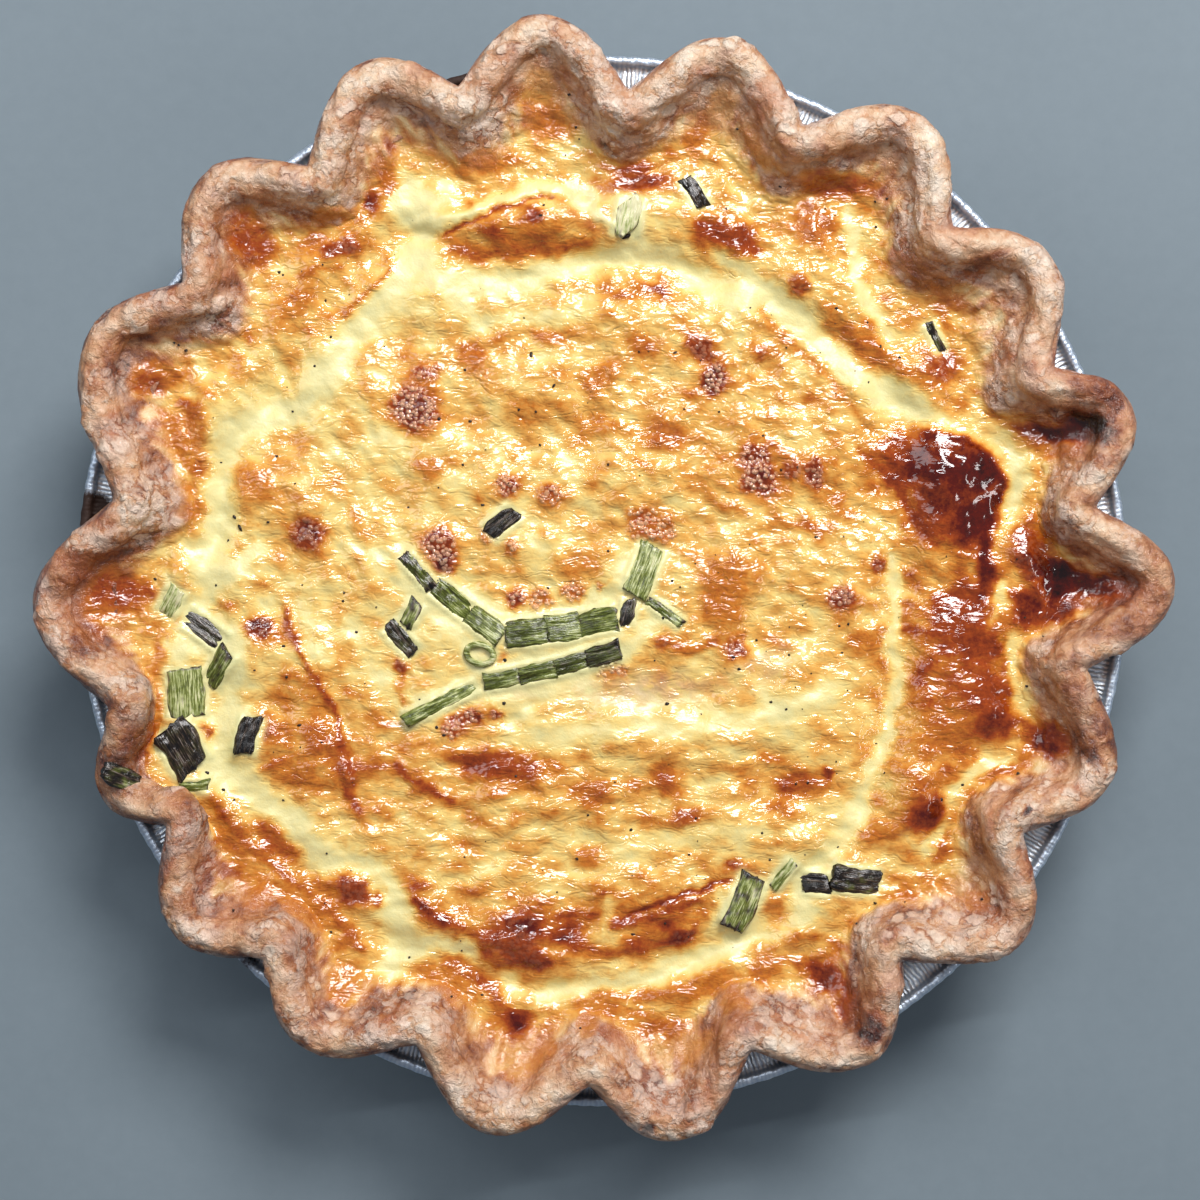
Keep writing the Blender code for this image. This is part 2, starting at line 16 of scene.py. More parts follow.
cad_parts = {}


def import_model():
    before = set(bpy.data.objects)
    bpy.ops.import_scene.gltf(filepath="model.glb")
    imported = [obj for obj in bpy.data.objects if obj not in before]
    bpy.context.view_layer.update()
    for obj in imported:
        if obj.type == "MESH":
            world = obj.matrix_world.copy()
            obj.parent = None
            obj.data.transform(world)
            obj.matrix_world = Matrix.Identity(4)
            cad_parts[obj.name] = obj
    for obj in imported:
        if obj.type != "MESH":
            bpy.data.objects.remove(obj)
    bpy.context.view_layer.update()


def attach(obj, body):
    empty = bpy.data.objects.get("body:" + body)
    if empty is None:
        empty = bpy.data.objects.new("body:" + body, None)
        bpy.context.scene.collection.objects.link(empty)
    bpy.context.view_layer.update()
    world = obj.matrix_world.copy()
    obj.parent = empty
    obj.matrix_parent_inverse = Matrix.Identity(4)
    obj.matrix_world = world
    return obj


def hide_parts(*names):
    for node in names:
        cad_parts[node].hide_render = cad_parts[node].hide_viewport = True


MM = 0.001

# The map and the eye above it
MAP_SIZE = 1200.0
MAP_MIDDLE = MAP_SIZE / 2
MAP_UNIT = 0.2324 * MM
EYE_X = -0.465 * MM
EYE_Y = -4.416 * MM
RIM_LEVEL = 30.0 * MM
EYE_DISTANCE = 600.0 * MM
SENSOR_MM = 36.0

# Ovals on the map: how steeply they fade; and how far their edges wander, in units
PATCH_POWER = 1.25
PATCH_FALL = 0.8
PATCH_LIMIT = 30.0
WANDER = 5

# Floor and light. Each light: name, place and size in metres, watts, colour
FLOOR_SIZE = 16.0
SKY_COLOR = (0.82, 0.87, 1.0, 1.0)
SKY_STRENGTH = 0.19
LIGHTS = (
    ("window", (0.36, 0.88, 1.02), (0.66, 0.46), 20.0, (1.0, 0.965, 0.955)),
    ("sky_strip", (-0.10, 0.52, 1.25), (0.8, 0.05), 3.5, (0.96, 0.97, 1.0)),
    ("side_fill", (-0.9, 0.35, 0.9), (0.6, 0.6), 2.6, (0.95, 0.97, 1.0)),
    ("right_strip", (0.95, -0.15, 0.62), (0.7, 0.08), 1.6, (1.0, 0.97, 0.96)),
)

# Foil tin, as in the solids
TIN_BASE_RADIUS = 91.5 * MM
TIN_SHOULDER_RADIUS = 112.5 * MM
TIN_SHOULDER_HEIGHT = 28.6 * MM
TIN_RIM_RADIUS = 122.2 * MM
TIN_ROLL_RADIUS = 1.2 * MM
TIN_ROLL_HEIGHT = 29.2 * MM
FOIL = 0.4 * MM
TIN_STATIONS = 1440
TIN_SIDE_START = 3.0 * MM
TIN_SIDE_STEPS = 7
TIN_ROLL_STEPS = 17
FLANGE_DIP = 0.3 * MM
FLANGE_PLEAT_DEPTH = 0.5 * MM
FLANGE_PLEATS_PER_RADIAN = 112.0
SIDE_PLEATS = 96
SIDE_PLEAT_DEPTH = 0.9 * MM
ROLL_KNURLS = 230
KNURL_DEPTH = 0.06 * MM
ROLL_DENT = 0.10 * MM

# Pastry case, as in the solids
ROLL_HALF_WIDTH = 4.5 * MM
FOOT_SPREAD = 0.9 * MM
SHOULDER_LIFT = 1.6 * MM
FOOT_HEIGHT = 31.6 * MM
SLOPE_CURVE = 1.45
LOBE_BREADTH = 0.8
CRUST_STATIONS = 1200
ROLL_STEPS = 30
SLOPE_STEPS = 34
CRUST_MIDDLE = 122 * MM
FOOT_START = 0.3 * MM
FOOT_RISE = 0.6 * MM
UNDER_SHARES = (0.0, 0.35, 0.7, 0.94)
SIDE_SHARES = (0.25, 0.5, 0.75)
ROLL_START = len(UNDER_SHARES) + 1 + len(SIDE_SHARES)
CREST_LINE = 0.2 * MM
CREST_LIMIT = 42.5 * MM
CREST_SOFTNESS = 0.8 * MM
SEAM_LIFT = 0.14 * MM
SEAM_DIP = 0.30 * MM
END_DROP = 1.6 * MM

# Surface of the pastry: where its lobes start, its base tones, its plates, and how its marks wander
LOBE_START = 106 * MM
LOBE_LENGTH = 20 * MM
CRUST_TONE = 0.49
RAN_TONE = 0.42
PLATE_SIZE = 4.2 * MM
CRUST_WANDER_SIZE = 18

# Each flute: angle of its peak in degrees, how far it reaches, the height of its crest and where the
# custard meets it; then the same four values for the pinch that follows it. Lengths are in millimetres.
FLUTES = (
    (359.6, 133.0, 40.5, 106.5, 8.3, 109.3, 42.5, 102.0),
    (18.0, 129.3, 40.5, 105.0, 24.9, 109.5, 43.0, 95.5),
    (36.0, 128.3, 41.0, 99.5, 45.2, 109.5, 43.0, 94.0),
    (55.8, 130.9, 40.5, 104.0, 66.1, 109.3, 42.5, 95.5),
    (76.4, 129.3, 41.0, 102.5, 87.1, 107.5, 42.0, 95.5),
    (96.4, 132.0, 41.5, 103.0, 106.4, 113.5, 41.5, 95.5),
    (114.4, 132.3, 40.5, 105.0, 125.5, 112.5, 41.0, 101.0),
    (134.5, 132.0, 39.5, 107.5, 144.6, 113.9, 41.0, 98.0),
    (154.3, 132.3, 39.0, 107.0, 170.8, 109.5, 41.5, 95.0),
    (182.7, 132.2, 38.5, 107.0, 194.6, 112.0, 41.0, 107.0),
    (203.0, 126.5, 36.5, 113.5, 208.9, 109.8, 41.5, 107.5),
    (219.5, 128.8, 40.0, 104.5, 228.2, 111.2, 42.0, 100.5),
    (237.0, 128.6, 41.0, 105.0, 248.3, 110.2, 42.5, 98.5),
    (258.5, 130.8, 41.0, 103.0, 268.6, 110.9, 42.5, 98.5),
    (277.6, 131.0, 41.0, 102.5, 287.4, 108.4, 43.0, 97.0),
    (299.0, 128.0, 40.5, 101.0, 308.3, 106.1, 43.0, 97.0),
    (319.5, 128.5, 41.0, 102.0, 328.9, 107.5, 43.5, 97.5),
    (338.8, 126.8, 40.5, 105.5, 349.9, 108.2, 43.0, 97.0),
)

# Custard, as in the solids
CUSTARD_LEVEL = 29.6 * MM
CUSTARD_DOME = 0.9 * MM
LIFTED_EDGE_DEGREES = 203.0
LIFTED_EDGE_HALF_WIDTH = 5.0
LIFTED_EDGE_HEIGHT = 2.4 * MM
LIFTED_EDGE_REACH = 10.0 * MM
CRACK_DEPTH = 1.5 * MM
CRACK_HALF_WIDTH = 4.0 * MM
PUFF_HEIGHT = 1.0 * MM
PUFF_OFFSET = 10.0 * MM
PUFF_HALF_WIDTH = 6.0 * MM
RIPPLE_HEIGHT = 0.28 * MM
RIPPLE_LENGTHS = (14.0 * MM, 34.0 * MM)
RIPPLES = 10
RIPPLE_SEED = 7
EDGE_BLEND = 7.0 * MM

# The ring along which the custard sank: angle in degrees, radius in millimetres
CRACK_RING = (
    (0, 70), (30, 80), (60, 77), (88, 74), (108, 81), (121, 93), (145, 89), (180, 92),
    (212, 98), (240, 98), (270, 95), (292, 89), (312, 82), (335, 74),
)

# Broad blisters of the custard: x, y, length, width in millimetres, turn in degrees, height in millimetres
BLISTERS = (
    (79, 22, 15, 9, -62, 3.0),
    (90, -6, 9, 7, 70, 2.0),
    (87, -28, 14, 8, 75, 1.8),
    (76, -45, 9, 8, 40, 1.2),
    (97, 9, 6, 4.5, -70, 1.5),
    (-21, -84, 17, 6, -8, 1.6),
    (12, -83, 14, 5, 6, 1.3),
    (-41, -75, 12, 5, -38, 1.6),
    (-58, -73, 7, 5, -45, 1.3),
    (-18, 81, 20, 6, 10, 2.4),
    (28, 80, 10, 5, -28, 1.5),
    (50, 78, 8, 6, -30, 1.4),
    (58, 58, 13, 6, -42, 1.2),
    (-63, 63, 15, 8, 42, 1.2),
    (-70, -42, 14, 7, -52, 1.0),
)

# The fine sheet of the custard's skin, and how it and the pastry lie under one another
SHEET_REACH = 118.0 * MM
CUSTARD_SPACING = 0.62 * MM
CUSTARD_TUCK = 2.2 * MM
TUCK_START = -0.6 * MM
TUCK_DEPTH = 2.4 * MM
SEAM_REACH = 3.2 * MM
SEAM_STEPS = 6

# Tones of the skin, and how far patches, blotches and folds change them
SKIN_TONE = 0.34
WIDE_TONES = 0.10
EDGE_TONE = 0.10
EDGE_BAND = 14 * MM
BLOTCH_TONES = 0.17
FOLD_TONES = 0.2
PALE_TONE = 0.07
PALE_LINE_POWER = 1.3
SKIN_WANDER_SIZE = 22

# Relief of the skin: lumps, layers of sunk onion, and the rim and halo round each piece of onion
LUMP_HEIGHT = 0.42 * MM
LAYER_RISE = 0.13 * MM
HALO_TONE = 0.08
HALO_WIDTH = 1.15 * MM
HALO_SINK = 0.10 * MM
RIM_RISE = 0.72 * MM
RIM_INSET = 0.05 * MM
RIM_HALF_WIDTH = 0.7 * MM
RING_HALO_WIDTH = 1.2 * MM
RING_REACH = 3.4 * MM
RING_STRETCH = 1.25

# Folds of the skin in each region: height, turn in degrees, width and length in millimetres, seed
FOLD_BEND = 0.35
SWELL_SHARE = 0.85
CREASE_SHARE = 0.35
MAIN_FOLDS = ((0.66, -35, 3.3, 5.4, 3), (0.30, -24, 1.7, 2.6, 21))
LOW_FOLDS = ((0.72, 3, 3.6, 8.5, 5), (0.30, 14, 1.8, 3.0, 23))
LEFT_FOLDS = ((0.72, -58, 3.6, 8.0, 8), (0.30, -40, 1.8, 3.0, 25))

# Broad tones of the skin on the map: u, v, half length, half width, turn in degrees, browning, strength
WASHES = (
    (470, 350, 110, 60, 10, 0.36, 0.7),
    (640, 420, 170, 80, -15, 0.47, 0.6),
    (800, 480, 90, 110, 0, 0.50, 0.7),
    (945, 650, 62, 120, 0, 0.66, 0.95),
    (930, 770, 55, 45, 30, 0.56, 0.9),
    (580, 925, 175, 34, 4, 0.66, 0.95),
    (400, 890, 60, 26, -38, 0.60, 0.9),
    (300, 745, 46, 70, -20, 0.56, 0.9),
    (300, 690, 46, 28, 0, 0.52, 0.8),
    (275, 490, 40, 52, 0, 0.50, 0.8),
    (512, 234, 84, 20, 6, 0.64, 1.0),
    (725, 236, 42, 18, -18, 0.66, 0.9),
    (812, 222, 26, 26, 0, 0.60, 0.9),
    (865, 345, 62, 18, -38, 0.58, 0.9),
    (320, 285, 70, 40, 38, 0.46, 0.8),
    (650, 690, 90, 24, 3, 0.34, 0.8),
    (560, 800, 170, 60, 4, 0.52, 0.7),
    (790, 790, 60, 50, 0, 0.50, 0.7),
    (700, 600, 60, 60, 0, 0.50, 0.6),
    (390, 760, 50, 60, -40, 0.53, 0.7),
    (420, 200, 30, 22, 30, 0.10, 0.8),
    (935, 360, 22, 30, 0, 0.62, 0.9),
    (560, 160, 40, 26, 0, 0.40, 0.8),
    (740, 170, 50, 24, 0, 0.42, 0.8),
    (640, 293, 54, 21, -4, 0.55, 0.95),
    (537, 338, 46, 17, 0, 0.50, 0.75),
    (455, 345, 22, 16, 0, 0.52, 0.7),
    (780, 336, 42, 18, -20, 0.54, 0.8),
)

# Pale cracks and bare custard on the map: strength, half width, sink in millimetres, points
PALE_LINES = (
    (0.95, 17, 0.5, ((205, 575), (222, 510), (215, 470), (228, 430), (262, 418), (300, 408), (330, 368),
                     (356, 332), (388, 292), (412, 262))),
    (0.90, 14, 0.3, ((412, 262), (424, 228), (408, 200), (398, 182))),
    (0.84, 11, 0.5, ((412, 262), (450, 280), (494, 286), (531, 276), (580, 260), (655, 254), (700, 274))),
    (0.85, 6.5, -0.9, ((420, 224), (451, 221), (480, 208), (512, 196), (537, 186), (561, 188), (592, 212),
                       (612, 230))),
    (0.80, 12, 0.4, ((455, 290), (470, 312), (478, 322))),
    (0.82, 16, 0.6, ((700, 284), (735, 298), (765, 300), (800, 322), (840, 362), (882, 392))),
    (0.80, 8, 0.5, ((720, 258), (760, 281), (822, 325), (838, 345))),
    (0.95, 13, 0.5, ((882, 392), (915, 408), (945, 428), (975, 440), (1005, 452), (1018, 478), (1012, 505),
                     (1003, 532))),
    (0.80, 8, 0.2, ((848, 212), (853, 240), (858, 280), (868, 305), (890, 325))),
    (0.80, 8, 0.3, ((893, 560), (895, 600), (893, 648), (899, 675), (895, 706), (888, 736), (874, 766),
                    (861, 795), (858, 815))),
    (0.85, 12, 0.4, ((858, 815), (846, 838), (815, 862), (800, 882), (803, 915), (770, 930), (735, 946))),
    (0.82, 11, 0.4, ((735, 946), (700, 960), (660, 975), (610, 984), (560, 993), (540, 996))),
    (0.95, 13, 0.4, ((470, 948), (430, 946), (400, 952), (388, 966))),
    (0.95, 18, 0.4, ((398, 945), (402, 925), (392, 898), (366, 866), (340, 862), (315, 850), (290, 822),
                     (262, 798), (235, 778), (214, 772))),
    (0.92, 15, 0.4, ((214, 772), (222, 745), (232, 715), (228, 690), (238, 665), (235, 640), (215, 640),
                     (190, 646), (172, 650))),
    (0.80, 9, 0.2, ((196, 612), (214, 582), (240, 562), (262, 548))),
    (0.60, 9, 0.1, ((506, 984), (520, 992))),
    (0.80, 11, 0.1, ((404, 578), (428, 606), (462, 640), (478, 662))),
    (0.85, 10, 0.1, ((480, 662), (520, 656), (560, 660), (610, 652), (640, 638), (668, 606))),
    (0.75, 11, 0.1, ((400, 700), (430, 700), (470, 694), (540, 690), (600, 672), (622, 655))),
    (0.70, 10, 0.1, ((620, 560), (606, 590), (560, 606), (500, 612), (470, 596), (440, 580))),
    (0.65, 8, 0.1, ((722, 900), (716, 925), (740, 935), (790, 905))),
    (0.70, 7, 0.2, ((1012, 638), (1013, 668), (1020, 700), (1032, 718))),
    (0.70, 6, 0.2, ((1012, 764), (985, 768), (962, 780), (948, 805), (940, 832), (922, 852))),
    (0.80, 6, 0.1, ((1001, 582), (998, 604), (990, 624))),
    (0.50, 8, 0.2, ((300, 600), (312, 640), (330, 660))),
    (0.45, 10, 0.2, ((352, 620), (370, 660), (396, 690))),
    (0.60, 14, 0.1, ((520, 740), (600, 728), (700, 726), (780, 716), (830, 690))),
    (0.55, 12, 0.1, ((560, 640), (600, 700), (650, 705))),
    (0.50, 10, 0.1, ((555, 830), (620, 850), (680, 838), (760, 826))),
    (0.50, 9, 0.2, ((610, 905), (606, 930), (614, 950))),
    (0.45, 10, 0.1, ((590, 306), (560, 318), (520, 316), (490, 322))),
)

# Brown folds and ridges on the map, and one painted shadow line: browning, half width, rise in millimetres,
# points
BROWN_AND_SHADOW_LINES = (
    # Painted shadow: a thin dark line in a shallow groove under the raised pale lip near the top.
    (0.80, 2.2, -0.6, ((444, 233), (466, 225), (488, 216), (512, 206), (537, 197), (552, 199))),
    (0.72, 8, 0.3, ((450, 252), (520, 252), (560, 249), (590, 243))),
    (0.78, 8, -0.3, ((700, 226), (722, 236), (750, 247))),
    (0.78, 4, 0.5, ((284, 608), (294, 640), (306, 664), (322, 688), (335, 709), (342, 740), (346, 768),
                    (349, 800))),
    (0.80, 6, 0.6, ((333, 745), (344, 766), (347, 788), (358, 810))),
    (0.82, 6, 0.6, ((397, 766), (416, 780), (436, 794), (452, 802))),
    (0.74, 8, 0.4, ((416, 898), (436, 914), (456, 926), (480, 936), (500, 945))),
    (0.86, 5, 0.5, ((416, 900), (430, 911), (446, 921))),
    (0.85, 3.5, -0.5, ((624, 921), (640, 909), (676, 898), (714, 885), (740, 878), (757, 874))),
    (0.78, 5, 0.5, ((612, 924), (640, 920), (672, 908), (700, 900))),
    (0.80, 8, 0.3, ((538, 960), (516, 962), (500, 964), (484, 950))),
    (0.76, 7, 0.3, ((580, 947), (613, 952), (650, 946), (684, 938))),
    (0.72, 7, 0.4, ((194, 775), (222, 812), (250, 846), (288, 878), (328, 911), (352, 936), (362, 948))),
    (0.78, 8, 0.3, ((262, 828), (278, 842), (294, 856))),
    (0.74, 8, 0.3, ((448, 962), (470, 975), (486, 985), (500, 1000))),
    (0.68, 8, 0.2, ((640, 1000), (690, 990), (722, 985))),
    (0.93, 7, 0.8, ((925, 438), (948, 438), (968, 443), (986, 456), (998, 472), (1002, 486), (992, 502))),
    (0.94, 9, 0.3, ((990, 500), (986, 530), (982, 552), (986, 572))),
    (0.90, 9, 0.3, ((986, 572), (983, 592), (972, 608), (968, 630), (975, 645))),
    (0.74, 6, -0.3, ((860, 450), (882, 470), (900, 490), (915, 520), (935, 545))),
    (0.66, 5, -0.2, ((520, 640), (500, 660))),
    (0.62, 5, 0.3, ((404, 664), (398, 690), (420, 720))),
    (0.60, 5, -0.3, ((760, 310), (790, 340), (830, 380), (870, 430))),
    (0.66, 5, 0.2, ((302, 276), (318, 268), (340, 270))),
    (0.66, 5, 0.2, ((345, 312), (362, 300), (392, 268))),
    (0.70, 6, 0.3, ((660, 640), (690, 652), (715, 640))),
)

# Browned spots on the map, two of them partly painted shade: u, v, half length, half width, turn in degrees,
# browning, rise in mm, beads
SPOTS = (
    (413, 409, 27, 22, -35, 0.76, 0.8, 1.0),
    (424, 372, 16, 12, 0, 0.72, 0.6, 0.7),
    (477, 373, 14, 10, 0, 0.56, 0.6, 0.3),
    (703, 350, 16, 11, -20, 0.80, 0.7, 0.3),
    (714, 380, 14, 17, 0, 0.78, 0.8, 1.0),
    (760, 352, 10, 9, 0, 0.68, 0.5, 0.3),
    (757, 455, 17, 14, 0, 0.76, 0.7, 0.8),
    (758, 481, 23, 17, 0, 0.75, 0.8, 1.0),
    (815, 474, 13, 18, -10, 0.76, 0.9, 0.6),
    (791, 469, 9, 8, 0, 0.72, 0.5, 0.5),
    (507, 489, 14, 12, 0, 0.72, 0.8, 1.0),
    (553, 494, 15, 12, 0, 0.68, 0.9, 0.9),
    (493, 531, 14, 12, 0, 0.60, 0.7, 1.0),
    (513, 547, 9, 8, 0, 0.60, 0.5, 0.9),
    (440, 546, 18, 22, 20, 0.76, 1.1, 0.9),
    (446, 567, 10, 12, 0, 0.86, 0.3, 0.6),
    (646, 523, 21, 18, 0, 0.62, 1.0, 1.0),
    (667, 529, 12, 12, 0, 0.60, 0.8, 0.9),
    (517, 601, 11, 10, 0, 0.76, 0.6, 1.0),
    (541, 600, 13, 11, 0, 0.60, 0.7, 1.0),
    (572, 591, 10, 9, 0, 0.62, 0.6, 0.9),
    (603, 585, 6, 6, 0, 0.55, 0.4, 0.9),
    (467, 718, 20, 11, 15, 0.76, 0.6, 0.7),
    (450, 730, 10, 8, 0, 0.66, 0.5, 1.0),
    (497, 717, 8, 7, 0, 0.74, 0.5, 0.7),
    (612, 669, 17, 10, 10, 0.60, 0.4, 1.0),
    (735, 648, 13, 12, 0, 0.76, 0.5, 0.4),
    (730, 576, 28, 22, 0, 0.62, 0.4, 0.0),
    (719, 609, 24, 20, 0, 0.64, 0.3, 0.0),
    (580, 562, 24, 18, 20, 0.58, 0.3, 0.0),
    (403, 664, 7, 6, 0, 0.74, 0.4, 0.4),
    (660, 645, 12, 9, 0, 0.66, 0.4, 0.2),
    (596, 386, 13, 11, 0, 0.60, 0.5, 0.2),
    (596, 423, 16, 13, 0, 0.58, 0.3, 0.0),
    (531, 415, 20, 18, 0, 0.58, 0.3, 0.0),
    (472, 354, 15, 13, 0, 0.66, 0.3, 0.0),
    (668, 434, 25, 18, -15, 0.66, 0.5, 0.1),
    (644, 346, 20, 14, -30, 0.66, 0.5, 0.0),
    (606, 372, 14, 12, 0, 0.62, 0.3, 0.0),
    (427, 469, 16, 12, 0, 0.62, 0.3, 0.0),
    (308, 535, 19, 18, 0, 0.82, 0.9, 0.4),
    (262, 629, 15, 13, 0, 0.84, 0.7, 0.3),
    (264, 728, 12, 15, 0, 0.74, 0.8, 0.3),
    (187, 441, 22, 17, 0, 0.62, 0.8, 0.2),
    (198, 467, 15, 12, 0, 0.66, 0.4, 0.2),
    (230, 605, 7, 6, 0, 0.68, 0.3, 0.0),
    (400, 666, 6, 6, 0, 0.78, 0.3, 0.2),
    (255, 482, 20, 16, 0, 0.60, 0.3, 0.0),
    (352, 890, 21, 17, -25, 0.82, 1.0, 0.1),
    (380, 901, 7, 7, 0, 0.70, 0.5, 0.0),
    (275, 844, 26, 11, -38, 0.72, 0.6, 0.0),
    (486, 764, 32, 15, 5, 0.80, 0.6, 0.0),
    (520, 772, 22, 11, 0, 0.74, 0.4, 0.0),
    (521, 928, 20, 16, 0, 0.88, 0.8, 0.1),
    (510, 945, 26, 16, 0, 0.76, 0.5, 0.1),
    (538, 960, 16, 10, 0, 0.80, 0.5, 0.1),
    (684, 937, 14, 8, 15, 0.84, 0.5, 0.1),
    (595, 795, 17, 12, 0, 0.68, 0.5, 0.0),
    (666, 778, 16, 20, 0, 0.70, 0.5, 0.0),
    (685, 818, 20, 10, 10, 0.72, 0.5, 0.1),
    (795, 784, 24, 13, 0, 0.72, 0.3, 0.0),
    (827, 771, 7, 7, 0, 0.80, 0.3, 0.0),
    (736, 866, 16, 6, 8, 0.72, 0.4, 0.3),
    (590, 856, 18, 9, 20, 0.62, 0.4, 0.0),
    (876, 565, 10, 9, 0, 0.76, 0.5, 0.3),
    (842, 600, 15, 15, 0, 0.74, 0.9, 0.7),
    (862, 640, 20, 14, 0, 0.62, 0.4, 0.0),
    (910, 462, 34, 22, 40, 0.86, 0.5, 0.0),
    (948, 478, 36, 26, 60, 0.92, 0.6, 0.0),
    (968, 520, 26, 24, 80, 0.90, 0.4, 0.0),
    (982, 472, 22, 20, 60, 0.93, 0.2, 0.0),
    (896, 446, 20, 14, 30, 0.74, 0.3, 0.0),
    (940, 500, 30, 20, 60, 0.84, 0.3, 0.0),
    (1027, 548, 20, 30, 15, 0.78, 1.0, 0.1),
    (1032, 563, 12, 14, 0, 0.84, 0.3, 0.1),
    (1028, 608, 19, 17, 20, 0.85, 0.8, 0.0),
    (1052, 578, 14, 24, 10, 0.92, 0.2, 0.0),
    (975, 642, 24, 30, 0, 0.80, 0.3, 0.0),
    (958, 612, 24, 26, 0, 0.78, 0.3, 0.0),
    (984, 690, 26, 22, 0, 0.78, 0.6, 0.0),
    (992, 722, 24, 18, 0, 0.82, 0.6, 0.0),
    (952, 680, 20, 22, 0, 0.72, 0.3, 0.0),
    (940, 735, 30, 18, 30, 0.66, 0.5, 0.0),
    (926, 816, 22, 16, 20, 0.84, 0.8, 0.0),
    (880, 835, 26, 14, 20, 0.62, 0.6, 0.0),
    (940, 364, 15, 24, 0, 0.74, 0.7, 0.2),
    (797, 286, 14, 7, -25, 0.72, 0.4, 0.2),
    (812, 224, 20, 18, 0, 0.66, 0.8, 0.1),
    (735, 238, 26, 12, -25, 0.78, -0.3, 0.0),
    (338, 250, 22, 9, 10, 0.80, 0.5, 0.2),
    (371, 200, 9, 10, 0, 0.84, 0.3, 0.1),
    (314, 240, 16, 9, 20, 0.66, 0.3, 0.0),
    (191, 406, 14, 7, -10, 0.70, 0.4, 0.0),
    (240, 258, 16, 10, 0, 0.68, 0.3, 0.0),
    # The next two spots, where the custard meets the pinches at the top, are partly browning and partly
    # painted shade.
    (640, 183, 34, 11, 4, 0.80, 0.3, 0.1),
    (828, 186, 40, 10, -4, 0.74, 0.3, 0.0),
    (860, 345, 40, 11, -38, 0.66, 0.4, 0.0),
    (905, 320, 14, 10, -30, 0.55, 0.3, 0.0),
    (540, 120, 16, 24, 70, 0.62, 0.4, 0.0),
    (300, 300, 24, 12, 40, 0.62, 0.4, 0.0),
    (345, 770, 14, 26, 15, 0.72, 0.4, 0.0),
    (300, 775, 20, 16, 0, 0.66, 0.4, 0.0),
    (320, 740, 14, 18, 0, 0.70, 0.5, 0.0),
    (610, 1000, 30, 9, 5, 0.60, 0.3, 0.0),
    (700, 985, 30, 9, 12, 0.62, 0.3, 0.0),
    (455, 965, 20, 9, -30, 0.66, 0.4, 0.0),
    (204, 730, 6, 7, 0, 0.74, 0.2, 0.0),
    (185, 625, 16, 8, -30, 0.68, 0.2, 0.0),
    (160, 660, 8, 24, 0, 0.60, 0.2, 0.0),
    (775, 910, 14, 18, 0, 0.60, 0.2, 0.0),
    (765, 970, 16, 20, 0, 0.64, 0.2, 0.0),
)

# Ham and pale onion that show through the skin, on the map: u, v, half length, half width, turn, strength
HAM_PATCHES = (
    (645, 690, 66, 15, 4, 1.0),
    (762, 660, 30, 6, 25, 0.7),
    (776, 668, 26, 10, 40, 0.6),
    (585, 198, 17, 14, 0, 0.8),
    (606, 214, 30, 14, -20, 0.5),
    (520, 690, 22, 9, 0, 0.5),
    (1032, 690, 10, 30, 20, 0.5),
)

# Pale onion cut across its layers, just under the skin, on the map: u, v, radius, spacing of the layers
SUNK_RINGS = ((585, 198, 17, 6.5), (572, 186, 9, 5.0))
